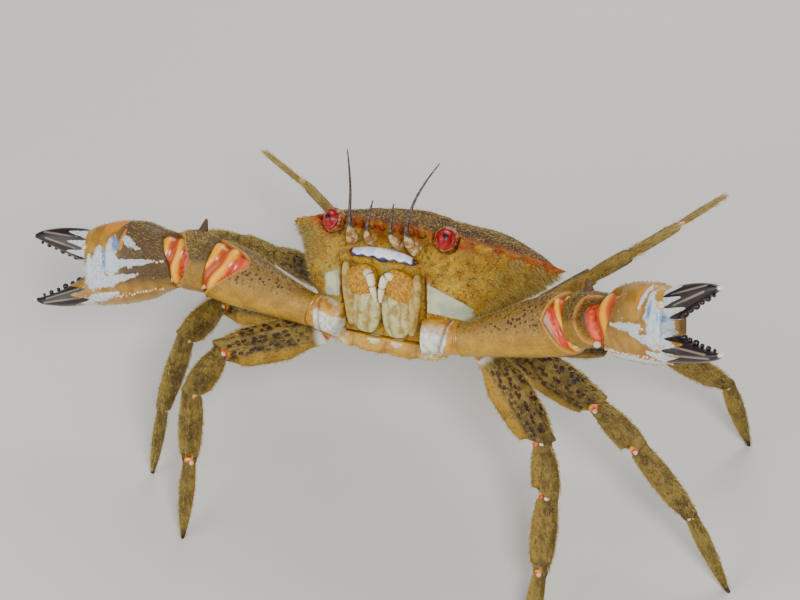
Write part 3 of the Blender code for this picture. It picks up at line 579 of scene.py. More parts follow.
# %% [markdown]
# Limb segments are skins too. Each runs between two joints, is cut back on a slant where it meets its
# neighbour, and has a rounded root and a hollow end, so that one segment seems to plug into the next. The
# lengths, swellings and headings are those of the solids.
# %% Limb values
LEG_LENGTHS = {2: (8, 25, 13, 18, 20), 3: (8.5, 27, 14, 20, 22), 4: (8, 26, 13, 19, 22),
    5: (7, 19, 10, 15, 19)}
LEG_Y = {2: 19.0, 3: 26.6, 4: 34.2, 5: 41.6}
LEG_HALF_HEIGHT = {2: (3.2, 5.0, 3.3, 3.1, 2.0), 3: (3.3, 5.3, 3.5, 3.2, 2.1),
                   4: (3.1, 4.9, 3.3, 3.1, 2.1), 5: (2.7, 4.1, 3.3, 4.7, 5.3)}
LEG_HALF_THICK = {2: (2.6, 2.3, 2.1, 1.6, 1.0), 3: (2.7, 2.5, 2.2, 1.7, 1.1),
                  4: (2.6, 2.3, 2.1, 1.6, 1.0), 5: (2.4, 2.1, 1.8, 1.2, 0.8)}
LEG_POSE = {
    (2, 1): ((2, -28), (-14, -34), (-46, -41), (-61, -40), (-66, None)),
    (3, 1): ((10, -21), (9, -19), (-3, -27), (-8, -30), (-4, None)),
    (4, 1): ((16, -16), (44, -12), (41, -16), (34, -32), (30, None)),
    (5, 1): ((46, 0), (56, 24), (60, 20), (72, 8), (84, -4)),
    (2, -1): ((-104, -33), (-131, -5), (-84, -16), (-62, -68), (-64, None)),
    (3, -1): ((-132, -12), (-146, 4), (-86, -4), (-98, -64), (-120, None)),
    (4, -1): ((176, -10), (178, -6), (177, -10), (170, -26), (168, None)),
    (5, -1): ((150, -20), (152, 2), (158, 8), (162, 4), (165, -2)),
}
FOOT_SINK = 0.7
PADDLE_BLADE = (-0.454, 0.603, -0.656)
LEG_NAMES = ("merus", "carpus", "propodus", "dactyl")
CLAW_LENGTHS = {1: (6, 29, 10, 22.5, 16.5), -1: (5.5, 27.5, 10, 23.5, 17)}
CLAW_COXA = (14.4, 10.6, -22.4)
CLAW_POSE = {1: ((20, 10), (23, 22), (-6, 32), (-10, 33)),
    -1: ((-174, -2), (-168, 7), (-168, -8), (-156, -15))}
CLAW_UP = (-0.400, 0.520, 0.755)
PALM_HALF_HEIGHT = {1: 8.8, -1: 10.2}

print("legs", len(LEG_POSE), "claws", len(CLAW_POSE))

# %% [markdown]
# A limb is a chain: each segment starts at the joint before it and runs in its own heading and rise. The
# last segment of a walking leg drops until its point meets the floor, which is what the real leg does.
# %% Limb joints
def joints_of(start, lengths, pose):
    joints = [start]
    for length, (heading, rise) in zip(lengths, pose):
        if rise is None:
            rise = -math.degrees(math.asin(min((joints[-1][2] + FOOT_SINK) / length, 0.999)))
        joints.append(joints[-1] + direction(heading, rise) * length)
    return joints


def coxal_edge(y, side):
    return np.array((side * lerp(15.3, 12.1, (y - 13) / 31), y, base_height(y)))


def bend_sides(number, steps):
    """The way a leg's broad side points at each segment, in the plane the leg bends in."""
    if number == 5:
        return [np.array(PADDLE_BLADE)] * len(steps)
    units = [unit(s) for s in steps]
    normal = sum(np.cross(a, b) for a, b in zip(units[1:], units[2:]))
    if np.linalg.norm(normal) < 0.1:
        return [DORSAL] * len(steps)
    normal = unit(normal)
    ups = [np.cross(normal, u) for u in units]
    return [-u for u in ups] if ups[1] @ DORSAL < 0 else ups

print("coxal edge of the second leg", coxal_edge(LEG_Y[2], 1).round(1))

# %% [markdown]
# A segment is a slightly boxy tube with a closed root and a hollow end. It could be a cylinder with loops
# moved by hand; here its stations give half thickness, half height and lift along it, and planes halfway
# between two segments trim it, so that neighbours meet on a slant as real ones do.
# %% One limb segment
def limb(start, end, reference):
    along = unit(end - start)
    up = reference - along * (reference @ along)
    if np.linalg.norm(up) < 0.2:
        up = BACK - along * (BACK @ along)
    up = unit(up)
    return {"start": start, "along": along, "up": up, "side": np.cross(along, up),
        "length": np.linalg.norm(end - start)}


def segment_place(seg, stations, before=None, after=None, power=2.4, keel=0.0, root_gap=0.15, end_gap=0.15,
                  hollow=1.2, plug=0.5, flexor=None, cut_back=None, root_back=None, tip=False):
    """A function that lays a grid over one segment.

    stations are (place 0..1, half thickness, half height, lift). On the flexor side the shell is cut back for
    the soft skin of the joint, by millimetres that cut_back and root_back give for a height.
    """
    knots = np.array([s[0] for s in stations]) * seg["length"]
    thick, high, lift = (np.array([s[i] for s in stations]) for i in (1, 2, 3))
    side, up, along = seg["side"], seg["up"], seg["along"]

    def ring(x, a):
        c, s = np.cos(a), np.sin(a)
        cx = np.sign(c) * np.abs(c) ** (2 / power) * flow(x, knots, thick) * (1 - keel * np.abs(s))
        sy = np.sign(s) * np.abs(s) ** (2 / power) * flow(x, knots, high)
        return cx, sy + flow(x, knots, lift)

    def limit(x, a, other, offset, away):
        """Where the slanting plane at a joint meets the side of the limb."""
        cx, sy = ring(np.full_like(a, x), a)
        if other is None:
            return np.full_like(a, x)
        plane = unit(unit(other) + along)
        across = cx * (side @ plane) + sy * (up @ plane)
        cut = x + (-across + away * offset) / (along @ plane)
        if flexor is not None:
            f = unit(flexor - along * (flexor @ along))
            toward = np.clip(np.cos(a) * (side @ f) + np.sin(a) * (up @ f), 0, 1)
            back = cut_back if away < 0 else root_back
            if back is not None:
                cut = cut + away * back(sy) * smooth(toward / 0.75)
        return cut

    def place(u, w):
        a = 2 * np.pi * w
        low = limit(0.0, a, before, root_gap, 1.0)
        top = limit(seg["length"], a, after, end_gap, -1.0)
        if tip:
            top = np.full_like(a, seg["length"])
        body_part = np.clip((u - 0.1) / 0.8, 0, 1)
        x = lerp(low, top, body_part)
        cx, sy = ring(x, a)
        root = np.clip((0.1 - u) / 0.1, 0, 1)
        far = np.clip((u - 0.9) / 0.1, 0, 1)
        mid = flow(x, knots, lift)
        shrink = np.cos(root * np.pi / 2) * (1 - far if not tip else np.cos(far * np.pi / 2))
        x = x - plug * np.sin(root * np.pi / 2)
        if tip:
            x = x + 0.2 * np.sin(far * np.pi / 2)
        else:
            x = x + 0.35 * np.sin(np.clip(far / 0.3, 0, 1) * np.pi) - hollow * smooth((far - 0.25) / 0.75)
        cx, sy = cx * shrink, mid + (sy - mid) * shrink
        points = (seg["start"] + np.multiply.outer(x, along)
                  + np.multiply.outer(cx, side) + np.multiply.outer(sy, up))
        points[:, 2] = np.maximum(points[:, 2], 0.0)
        return points

    return place


def limb_masks(bm, seg, high):
    """Millimetres along, above and beside the limb's axis, and how near each point is to an edge."""
    q = points_of(bm) - seg["start"]
    mm = np.stack((q @ seg["along"], q @ seg["up"], q @ seg["side"]), 1)
    return {"mm": mm, "edge": mm[:, 1] / high, "along": mm[:, 0] / seg["length"]}

print("segment from", limb(ORIGIN, ORIGIN + LEFT * 9, DORSAL)["length"].round(1), "mm")

# %% [markdown]
# The legs are lime-hardened shell with thin felt, so they look dull with a faint sheen. Between fine
# ridges they carry rows of dark purple-brown blotches, about 1.4 mm across as on the real crab.
# The grain of the felt is drawn at 0.6 mm, coarser than the real one, so that it shows.
# %% Material: mottled leg shell
LEG, shader, add, mm, rows, pale, dark, gold = begin(
    "mottled_leg_shell", "mm", "rows", "pale", "dark", "gold")
clouds = add(NOISE, mm, 0.25, 3)
base = add(MIX, add(STEP, clouds, 0.38, 0.62), "#5E4A16", "#86702C")
base = add(MIX, gold, base, add(MIX, add(STEP, clouds, 0.4, 0.6), "#94700E", "#AE8424"))
blotch = add(NOISE, add(STRETCH, mm, (0.8, 1.15, 0.8)), 0.75, 3, 0.55)
cells = add(SPOTS, add(STRETCH, mm, (0.9, 1.2, 1.0)), 0.72, 0.9)
fine = add(NOISE, mm, 1.6, 3, 0.6)
uneven = add(PLUS, cells, add(TIMES, add(PLUS, blotch, fine), 0.55))
dark_spot = add(STEP, uneven, 1.06, 0.96)
blot = add(TIMES, dark_spot, rows)
base = add(MIX, blot, base, add(MIX, add(STEP, clouds, 0.4, 0.6), "#260A02", "#431A08"))
dashes = add(STEP, add(NOISE, add(STRETCH, mm, (0.5, 1.5, 1.2)), 1.9, 3, 0.6), 0.56, 0.64)
base = add(MIX, add(TIMES, dashes, 0.7), base, "#22140A")
grain = add(STEP, add(SPOTS, mm, 1.5), 0.25, 0.1, 0, 0.45)
base = add(MIX, grain, base, "#A8935A")
base = add(MIX, pale, base, "#D8DAD0")
base = add(MIX, dark, base, "#2A1210")
relief = add(PLUS, add(NOISE, mm, 1.7, 4, 0.65), add(TIMES, blotch, 0.6))
feed(shader, Base_Color=base, Roughness=add(STEP, blot, 0, 1, 0.55, 0.5), Normal=add(BUMP, relief, 0.3 * MM),
    IOR=1.4)
print("made", LEG.name)

# %% [markdown]
# The hips rub on each other, so their shell is worn smooth and bluish white, with a soft sheen and golden
# clouds of about 2 mm. They and the merus stand for one solid, so each leg has a hip piece and a merus
# piece on the same node.
# %% Material: pale hip shell
HIP, shader, add, mm, gilt, seam = begin("smooth_pale_shell", "mm", "gold", "seam")
clouds = add(NOISE, mm, 0.5, 3)
white = add(MIX, add(STEP, clouds, 0.38, 0.6), "#BFC8BE", "#E6E6D8")
gold = add(MIX, add(STEP, clouds, 0.4, 0.6), "#A8720E", "#C6922A")
lines = add(STEP, add(NOISE, add(STRETCH, mm, (1.6, 0.5, 0.5)), 0.8, 2, 0.5), 0.5, 0.58)
share = add(PLUS, gilt, add(TIMES, add(NOISE, mm, 0.35, 3), 0.8))
base = add(MIX, add(STEP, share, 0.5, 0.8), white, gold)
base = add(MIX, add(TIMES, lines, 0.45), base, gold)
base = add(MIX, seam, base, "#7E3F26")
feed(shader, Base_Color=base, Roughness=0.34, IOR=1.5, Coat_Weight=0.2,
    Normal=add(BUMP, add(NOISE, mm, 1.6, 3), 0.15 * MM))
print("made", HIP.name)

# %% [markdown]
# Between the segments is soft folded skin without lime, coral and orange. It is wet and a little see-
# through, so it shines and glows. Its wrinkles are drawn 0.8 mm wide, coarser than real ones. Light is
# painted lighter amber on the crests of its folds, and shade darker red in the hollows between them.
# %% Material: soft joint skin
JOINT, shader, add, mm, fold_shading, share = begin("soft_joint_skin", "mm", "fold_light_and_shade", "share")
clouds = add(NOISE, mm, 0.55, 3)
coral = add(MIX, add(STEP, clouds, 0.38, 0.62), "#D2301C", "#F56A3C")
# Painted light: the crests of the folds are coloured lighter amber.
amber = add(MIX, add(STEP, fold_shading, 0.3, 0.8), "#CC5606", "#FFAE1C")
base = add(MIX, add(STEP, add(PLUS, share, add(TIMES, clouds, 0.3)), 0.48, 0.66), coral, amber)
base = add(MIX, add(STEP, share, 0.2, 0.05), base, "#B58A78")
# Painted shade: the hollows between the folds are coloured darker red.
base = add(MIX, add(STEP, fold_shading, 0.3, 0.0, 0, 0.45), base, "#7E1E14")
feed(shader, Base_Color=base, Roughness=0.26, IOR=1.42, Subsurface_Weight=0.12, Coat_Weight=0.5,
    Subsurface_Radius=(0.003, 0.001, 0.0008), Normal=add(BUMP, add(NOISE, mm, 1.3, 3), 0.12 * MM))
print("made", JOINT.name)

# %% [markdown]
# The pivots and beads are solid lime, worn smooth and white with a pink flush. A low roughness and a thin
# coat give the small hard highlight that polished shell has.
# %% Material: polished white knob
KNOB, shader, add, mm = begin("polished_white_knob", "mm")
base = add(MIX, add(STEP, add(NOISE, mm, 0.9, 2), 0.4, 0.65), "#DDCFB4", "#D8A084")
feed(shader, Base_Color=base, Roughness=0.22, IOR=1.5, Coat_Weight=0.4)
print("made", KNOB.name)

# %% [markdown]
# The merus is the broad thigh, then come a short knee, a long shin and a pointed toe; in the hind pair
# the last two are flat paddles. Two fine ridges run along each broad face, with a hollow between them.
# %% Legs: stations and ridges
def overrun(half, before, after):
    cosine = min(max(float(unit(before) @ unit(after)), -0.2), 1.0)
    return half * math.tan(math.acos(cosine) / 2) + 0.6


def leg_stations(number, k, lead, trail):
    high, thick = LEG_HALF_HEIGHT[number][k + 1], LEG_HALF_THICK[number][k + 1]
    if k == 3:
        shape = (((0.04, 0.42), (0.25, 0.82), (0.5, 1.0), (0.75, 0.84), (0.93, 0.42), (1.0, 0.1))
            if number == 5 else ((0.04, 0.86), (0.3, 1.0), (0.6, 0.82), (0.86, 0.4), (1.0, 0.14)))
        rows = [(-lead, thick, high * shape[0][1], 0)]
        return rows + [(p, thick * (0.45 + 0.55 * s), high * s, 0) for p, s in shape]
    swell = ((0.62, 1.0, 0.95, 0.7), (0.72, 0.95, 1.0, 0.85), (0.85, 1.0, 0.9, 0.62))[k]
    if number == 5 and k == 2:
        swell = (0.55, 0.95, 1.0, 0.62)
    rows = [(-lead, thick * 0.8, high * swell[0], 0)]
    rows += [(p, thick * (0.8 + 0.2 * s), high * s, 0) for p, s in zip((0.06, 0.38, 0.72, 0.97), swell)]
    return rows + [(1 + trail, thick * 0.8, high * swell[3], 0)]


def leg_relief(mm, high, thick, k):
    """Fine ridges along both broad faces, and a knuckle at the far end."""
    h, s = mm[:, 1] / high, np.abs(mm[:, 2]) / thick
    flat = smooth((s - 0.35) / 0.3)
    lines = (0.02, 0.5) if k == 0 else (-0.35, 0.35)
    rise = sum(0.28 * bell((h - line) / 0.1) for line in lines) * flat
    rise = rise - 0.18 * bell((h - sum(lines) / 2) / 0.16) * flat
    return rise * (0.6 if k == 3 else 1.0)

print("stations of a toe", len(leg_stations(2, 3, 0.1, 0.1)))

# %% [markdown]
# Eight legs of four segments come from one loop. Each segment also gets its masks: rows of blotches on
# the merus, gold below, pale at the root, dark at the toe. What the joints and the coat need later is
# kept by leg.
# %% Legs: the eight legs
LEGS = {}
LEG_CUT = 2.8  # millimetres that the shell is cut back for the soft skin
LEG_GRID = ((88, 56), (56, 56), (72, 56), (72, 56))


def make_leg(number, side, pose):
    tag = "leg%d_%s_" % (number, "left" if side > 0 else "right")
    root = coxal_edge(LEG_Y[number], side) + np.array((side * BAND_OUT, 0, BAND_UP)) * 0.4
    joints = joints_of(body(*root), LEG_LENGTHS[number], pose)
    steps = [b - a for a, b in zip(joints, joints[1:])]
    ups = bend_sides(number, steps)
    segs = []
    for k in range(4):
        start, end, before = joints[k + 1], joints[k + 2], steps[k]
        after = steps[k + 2] if k < 3 else None
        high, thick = LEG_HALF_HEIGHT[number][k + 1], LEG_HALF_THICK[number][k + 1]
        seg = limb(start, end, ups[k + 1])
        lead = overrun(high * 0.8, before, end - start) / seg["length"]
        trail = overrun(high * 0.8, end - start, after) / seg["length"] if k < 3 else 0
        stations = leg_stations(number, k, lead, trail)
        place = segment_place(seg, stations, before, after, keel=0.35 if k == 3 else 0.2, tip=k == 3,
                              flexor=None if k == 3 else after, cut_back=lambda h: np.full_like(h, LEG_CUT))
        bm = skin(place, *LEG_GRID[k])
        masks = limb_masks(bm, seg, high)
        raise_along_normals(bm, leg_relief(masks["mm"], high, thick, k))
        for v in bm.verts:
            v.co.z = max(v.co.z, 0.0)
        masks = limb_masks(bm, seg, high)
        h, x = masks["edge"], masks["along"]
        if k == 0:
            masks["rows"] = smooth((h + 0.5) / 0.2) * smooth((x - 0.1) / 0.08) * smooth((0.97 - x) / 0.06)
            masks["rows"] = masks["rows"] * (1 - 0.8 * bell((h - 0.02) / 0.07) - 0.8 * bell((h - 0.5) / 0.07))
        else:
            masks["rows"] = 0.4 * smooth((0.8 - np.abs(h)) / 0.2) * (k < 3)
        masks["gold"] = smooth((-h - 0.35) / 0.25) * (0.9 if k == 0 else 0.3)
        masks["pale"] = (0.85 * smooth((0.1 - x) / 0.08) if k == 0 else np.zeros_like(h))
        masks["dark"] = smooth((x - 0.82) / 0.12) * (k == 3 and number < 5)
        name = tag + LEG_NAMES[k]
        finish(bm, name + "_shell", LEG, (name,), masks)
        segs.append(seg)
    LEGS[(number, side)] = {"joints": joints, "steps": steps, "ups": ups, "segs": segs, "tag": tag}


for (number, side), pose in LEG_POSE.items():
    make_leg(number, side, pose)
print("legs", len(LEGS))

# %% [markdown]
# The hip is a chain of two short, smooth rings. Three balls that run into each other give their
# swellings, which a plain tube would not have.
# %% Legs: hips
def hip_piece(number, side):
    leg = LEGS[(number, side)]
    joints, high, thick = leg["joints"], LEG_HALF_HEIGHT[number], LEG_HALF_THICK[number]
    bm = empty()
    along = unit(joints[1] - joints[0])
    up = unit(DORSAL - along * (DORSAL @ along))
    across = np.cross(along, up)
    axes = (along, across, up)
    length = LEG_LENGTHS[number][0]
    for share, grow, long in ((0.0, 1.12, 0.42), (0.45, 1.0, 0.34), (0.82, 0.88, 0.3)):
        ball(bm, joints[0] + along * length * share, (length * long, thick[0] * grow, high[0] * grow), axes,
            detail=4)
    q = points_of(bm) - joints[0]
    mm = np.stack((q @ along, q @ up, q @ across), 1)
    masks = {"mm": mm, "gold": 0.25 + smooth((mm[:, 0] / length - 0.6) / 0.3) * 0.6}
    finish(bm, leg["tag"] + "hip_shell", HIP, (leg["tag"] + "merus",), masks)

print("hip length", LEG_LENGTHS[2][0], "mm")

# %% [markdown]
# Between two segments lies a pad of soft folded skin, and the hinge shows as a small white knob on each
# side. A squashed ball fills the gap from every side, so no joint can be looked through.
# %% Legs: joint skin and knobs
def joint_pieces(number, side):
    """Soft skin in each joint, and a white knob on each side of it."""
    leg = LEGS[(number, side)]
    soft, knobs = empty(), empty()
    fold_shading = []
    for k in range(1, 5):
        joint = leg["joints"][k]
        high, thick = LEG_HALF_HEIGHT[number], LEG_HALF_THICK[number]
        h = min(high[k], high[k - 1] if k > 1 else high[1] * 0.7) * 0.84
        t = min(thick[k], thick[k - 1]) * 0.84
        a, b = unit(leg["steps"][k - 1]), unit(leg["steps"][k])
        along = unit(a + b)
        up = unit(leg["ups"][k] - along * (leg["ups"][k] @ along))
        across = np.cross(along, up)
        count = len(soft.verts)
        ball(soft, joint, (h * 0.95, t, h * 0.86), (along, across, up), detail=4)
        q = points_of(soft)[count:] - joint
        # The folds of this pad are only painted, as stripes of light and shade across the ball.
        fold_shading.append(0.5 + 0.5 * np.sin((q @ along) / h * 9))
        if k > 1:
            for s in (1, -1):
                ball(knobs, joint + across * s * t * 1.02 - up * h * 0.15, (0.6, 0.4, 0.6),
                    (along, across, up), detail=3)
    masks = {"mm": points_of(soft), "fold_light_and_shade": np.concatenate(fold_shading), "share": 0.3 + 0.4 * np.concatenate(fold_shading)}
    finish(soft, leg["tag"] + "joint_skin", JOINT, (), masks)
    finish(knobs, leg["tag"] + "joint_knobs", KNOB, (), {"mm": points_of(knobs)})


for number, side in LEG_POSE:
    hip_piece(number, side)
    joint_pieces(number, side)
print("pieces", len(PIECES))

# %% [markdown]
# The claws are held wide. Their arms are bare shell, golden and rubbed to a broad soft shine, with dark
# pits about a millimetre apart on the upper half. Where arm meets wrist and wrist meets hand, an oval
# window of folded skin shows, framed by a pale lip.
# %% Material: pitted arm shell
ARM, shader, add, mm, edge, along, rim, hairy = begin(
    "pitted_arm_shell", "mm", "edge", "along", "rim", "hairy")
clouds = add(NOISE, mm, 0.22, 3)
base = add(MIX, add(STEP, clouds, 0.38, 0.62), "#9C700E", "#B68C20")
high = add(PLUS, edge, add(TIMES, along, 0.5))
upper = add(STEP, add(PLUS, high, add(TIMES, clouds, 0.5)), 0.2, 0.8)
base = add(MIX, add(TIMES, upper, 0.85), base, add(MIX, clouds, "#6A4A16", "#86621E"))
pits = add(STEP, add(SPOTS, mm, 0.95, 0.85), 0.38, 0.26)
sizes = add(STEP, add(NOISE, mm, 0.45, 2), 0.34, 0.46)
dark = add(TIMES, add(TIMES, pits, sizes), upper)
base = add(MIX, dark, base, "#2C130E")
red = add(STEP, edge, 0.72, 0.95, 0, 0.8)
base = add(MIX, red, base, "#5E2414")
fine = add(STEP, add(NOISE, mm, 1.5, 4, 0.7), 0.52, 0.66)
base = add(MIX, add(TIMES, fine, 0.5), base, "#6A4A14")
light = add(STEP, add(NOISE, mm, 1.9, 3, 0.7), 0.56, 0.68)
base = add(MIX, add(TIMES, light, 0.4), base, "#D8B25A")
base = add(MIX, add(TIMES, hairy, add(STEP, clouds, 0.3, 0.6, 0.5, 0.9)), base, "#4E3A14")
base = add(MIX, rim, base, "#D08C30")
height = add(LESS, add(NOISE, mm, 1.6, 4, 0.6), add(TIMES, dark, 0.8))
feed(shader, Base_Color=base, Roughness=add(STEP, hairy, 0, 1, 0.42, 0.6), IOR=1.5,
    Normal=add(BUMP, height, 0.22 * MM))
print("made", ARM.name)

# %% [markdown]
# The hands are polished shell with a clear shine where they are golden, with streaks of white beads of
# 0.9 mm and bluish hollows round the hinge; the fingers are almost black, with highlights painted as pale
# lines along their grooves, and white points. The felt on their backs is dull, and drawn at 0.4 mm, coarser
# than it is.
# %% Material: hand and finger shell
PALM, shader, add, mm, white, blue, orange, felt, black, groove_highlight_and_shade, tipwhite = begin(
    "beaded_hand_shell", "mm", "white", "blue", "orange", "felt", "black", "groove_highlight_and_shade", "tipwhite")
clouds = add(NOISE, mm, 0.3, 3)
base = add(MIX, add(STEP, clouds, 0.38, 0.62), "#966A14", "#B28630")
hair = add(NOISE, mm, 2.4, 4, 0.65)
olive = add(MIX, add(STEP, hair, 0.5, 0.62), "#553E16", "#281A08")
base = add(MIX, felt, base, olive)
base = add(MIX, add(STEP, add(PLUS, orange, add(TIMES, clouds, 0.4)), 0.5, 0.9), base, "#C8801E")
beads = add(SPOTS, mm, 1.15, 0.6)
wobble = add(PLUS, white, add(TIMES, add(NOISE, mm, 0.8, 4, 0.6), 2.0))
streak = add(STEP, add(LESS, wobble, add(TIMES, beads, 0.35)), 1.15, 1.45)
base = add(MIX, streak, base, add(MIX, add(STEP, beads, 0.2, 0.45), "#F2F3EE", "#C2CCD3"))
base = add(MIX, blue, base, "#6F94C8")
dark = add(STEP, add(PLUS, black, add(TIMES, add(NOISE, mm, 0.8, 3), 0.3)), 0.55, 0.75)
base = add(MIX, dark, base, add(MIX, add(STEP, clouds, 0.4, 0.6), "#0B0404", "#220C0A"))
# Painted highlights: pale lines along the grooves of the black fingers.
base = add(MIX, add(TIMES, groove_highlight_and_shade, 0.6), base, "#B7A697")
base = add(MIX, tipwhite, base, "#F4EEE2")
height = add(PLUS, add(TIMES, add(STEP, beads, 0.4, 0.1), streak),
    add(TIMES, hair, add(STEP, felt, 0, 1, 0.15, 0.8)))
feed(shader, Base_Color=base, Roughness=add(STEP, felt, 0, 1, 0.3, 0.58), IOR=1.5, Coat_Weight=0.15,
    Normal=add(BUMP, height, 0.35 * MM))
print("made", PALM.name)

# %% [markdown]
# The arm's shell is cut back on the side that shows, and a narrow lip runs round the cut. The cut is a
# few millimetres that change with the height on the limb, which gives each window its almond shape.
# %% Claws: arm segments
CLAWS = {}
# How far each arm's shell is cut back on the side that shows, in millimetres for a height on the limb.
ELBOW_CUT = {1: lambda h: np.clip(5.2 - 0.5 * np.abs(h - 1.5), 0.8, None),
             -1: lambda h: np.clip(3.2 + 0.95 * (h + 4), 1.5, 10.5)}
WRIST_CUT = {1: lambda h: np.clip(4.2 - 0.35 * np.abs(h), 1.0, None),
             -1: lambda h: np.clip(6.4 - 0.5 * np.abs(h), 1.0, None)}
HAND_CUT = {1: lambda h: np.clip(5.0 + 0.8 * (h + 2.5), 1.2, 11.5),
    -1: lambda h: np.clip(1.0 + 0.35 * h, 0.0, 3.0)}
FOLD_SLOPE = 0.25
# Grids of the skins, along and around.
ARM_GRID, SLEEVE_GRID, PALM_GRID = (130, 100), (110, 84), (170, 150)
FIXED_GRID, MOVING_GRID = (120, 90), (120, 100)
LIP_PLACE, LIP_WIDTH = 0.899, 0.007
ROOT_GRID, ROOT_HIGH = (90, 100), 4.2
ELBOW_SKIN = {1: 5.0, -1: 10.0}  # how far the elbow's skin reaches back, in millimetres


def camera_side(seg):
    """The side of a claw segment that faces the crab's front."""
    return seg["side"] if seg["side"] @ BACK < 0 else -seg["side"]


def arm_piece(node, seg, stations, before, after, high, cut_back, hairy, extra=None):
    inner = camera_side(seg)
    place = segment_place(seg, stations, before, after, flexor=inner, cut_back=cut_back, hollow=3.2)
    bm = skin(place, *ARM_GRID)
    down = grid_along(bm)
    q = points_of(bm) - seg["start"]
    shown = smooth((q @ inner) / 1.5)
    lip = bell((down - LIP_PLACE) / LIP_WIDTH)
    raise_along_normals(bm, 0.25 * lip * shown)
    if extra is not None:
        extra(bm)
    masks = limb_masks(bm, seg, high)
    masks["rim"] = np.zeros(len(bm.verts))
    masks["rim"][:len(lip)] = np.clip(lip * shown * 1.3, 0, 1)
    masks["hairy"] = hairy(masks)
    finish(bm, node + "_shell", ARM, (node,), masks)

print("windows of", len(ELBOW_CUT), "elbows and", len(WRIST_CUT), "wrists")

# %% [markdown]
# Behind each window is skin in soft pleats, coral at the root and amber at the top of the folds, with light
# painted on the crests of the pleats and shade in their hollows. It is a slimmer copy of the limb, so it
# shows only where the shell is cut back.
# %% Claws: folded skin
def sleeve(name, seg, stations, low, top, shown_from, shown_to, after=None, shrink=0.9):
    """Folded soft skin inside a joint: a slimmer copy of the limb with pleats across it."""
    length = seg["length"]
    knots = [s[0] * length for s in stations]
    part = dict(seg, start=seg["start"] + seg["along"] * low, length=top - low)
    places = np.linspace(0, 1, 6)
    at = low + places * (top - low)
    values = [flow(at, knots, [s[i] for s in stations]) * (shrink if i < 3 else 1) for i in (1, 2, 3)]
    rows = [(p, t, h, l) for p, t, h, l in zip(places, *values)]
    bm = skin(segment_place(part, rows, None, after, hollow=-2.0, plug=2.0, end_gap=0.0), *SLEEVE_GRID)
    inner = camera_side(seg)
    q = points_of(bm) - seg["start"]
    x, h, f = q @ seg["along"], q @ seg["up"], q @ inner
    share = (x + FOLD_SLOPE * h - shown_from) / (shown_to - shown_from)
    ridge = np.sin(share * 15 + 0.5 * np.sin(h * 0.7)) * smooth(share / 0.25)
    raise_along_normals(bm, 0.42 * ridge * smooth((f + 1) / 2) - 0.5 * bell((share - 0.98) / 0.1))
    # The fold mask paints light on the crests of the pleats and shade in their hollows.
    masks = {"mm": np.stack((x, h, f), 1), "fold_light_and_shade": np.clip(0.5 + 0.5 * ridge, 0, 1),
        "share": np.clip(share, 0, 1)}
    finish(bm, name, JOINT, (), masks)

print("sleeve grid", SLEEVE_GRID)

# %% [markdown]
# Each arm is three segments: a short ringed root, a long upper arm that widens to the elbow, and a knotty
# wrist with one sharp spine. Left and right are bent and sized differently, as the photograph has them.
# %% Claws: arms
def claw_values(side, name):
    lengths = CLAW_LENGTHS[side]
    joints = joints_of(body(side * CLAW_COXA[0], CLAW_COXA[1], CLAW_COXA[2]), lengths[:4], CLAW_POSE[side])
    return {"side": side, "name": name, "lengths": lengths, "joints": joints, "big": PALM_HALF_HEIGHT[side],
            "steps": [b - a for a, b in zip(joints, joints[1:])],
            "segs": [limb(a, b, np.array(CLAW_UP)) for a, b in zip(joints, joints[1:])]}


def claw_root(claw):
    """The ischium: two rings next to the body, with a slanting seam between them."""
    seg, length, name = claw["segs"][0], claw["segs"][0]["length"], claw["name"]
    rings = ((-5, 3.6, 4.2), (2, 3.8, 4.3), (length + 1, 3.5, 3.9))
    rows = [((x + 3) / (length + 3), t, h, 0) for x, t, h in rings]
    root = dict(seg, start=seg["start"] - seg["along"] * 3, length=length + 3)
    bm = skin(segment_place(root, rows, None, claw["steps"][1], hollow=0.8), *ROOT_GRID)
    masks = limb_masks(bm, seg, ROOT_HIGH)
    x, slant = masks["along"], 0.4 + 0.2 * masks["edge"]
    raise_along_normals(bm, -0.5 * bell((x - slant) / 0.07)
        - 0.3 * bell((x - 0.85 + 0.1 * masks["edge"]) / 0.05))
    masks = limb_masks(bm, seg, ROOT_HIGH)
    slant = 0.4 + 0.2 * masks["edge"]
    masks["gold"] = np.clip(0.55 * smooth((x - slant - 0.1) / 0.2)
        + 0.35 * smooth((masks["edge"] + 0.1) / 0.4), 0, 1)
    masks["seam"] = 0.8 * bell((x - slant) / 0.035)
    finish(bm, "claw_%s_ischium_shell" % name, HIP, ("claw_%s_ischium" % name,), masks)


def claw_upper_arm(claw):
    """The merus and the folded skin of the elbow."""
    seg, steps, side, name = claw["segs"][1], claw["steps"], claw["side"], claw["name"]
    length = seg["length"]
    lead, trail = overrun(5, steps[0], steps[1]) / length, overrun(6, steps[1], steps[2]) / length
    rows = ((-lead, 3.5, 3.9, -0.5), (0.05, 3.7, 4.1, -0.5), (0.35, 4.5, 5.3, -0.4), (0.7, 5.5, 7.0, 0),
            (0.93, 5.7, 7.3, 0), (1 + trail, 5.1, 6.7, 0))
    arm_piece("claw_%s_merus" % name, seg, rows, steps[0], steps[2], 7.0, ELBOW_CUT[side],
              lambda m: 0.35 * smooth((m["along"] - 0.1) / 0.3) * smooth((m["edge"] - 0.3) / 0.5))
    start = ELBOW_SKIN[side]
    sleeve("claw_%s_elbow_skin" % name, seg, rows, length - start - 6, length + 0.5, length - start,
        length + 1.5, steps[2])


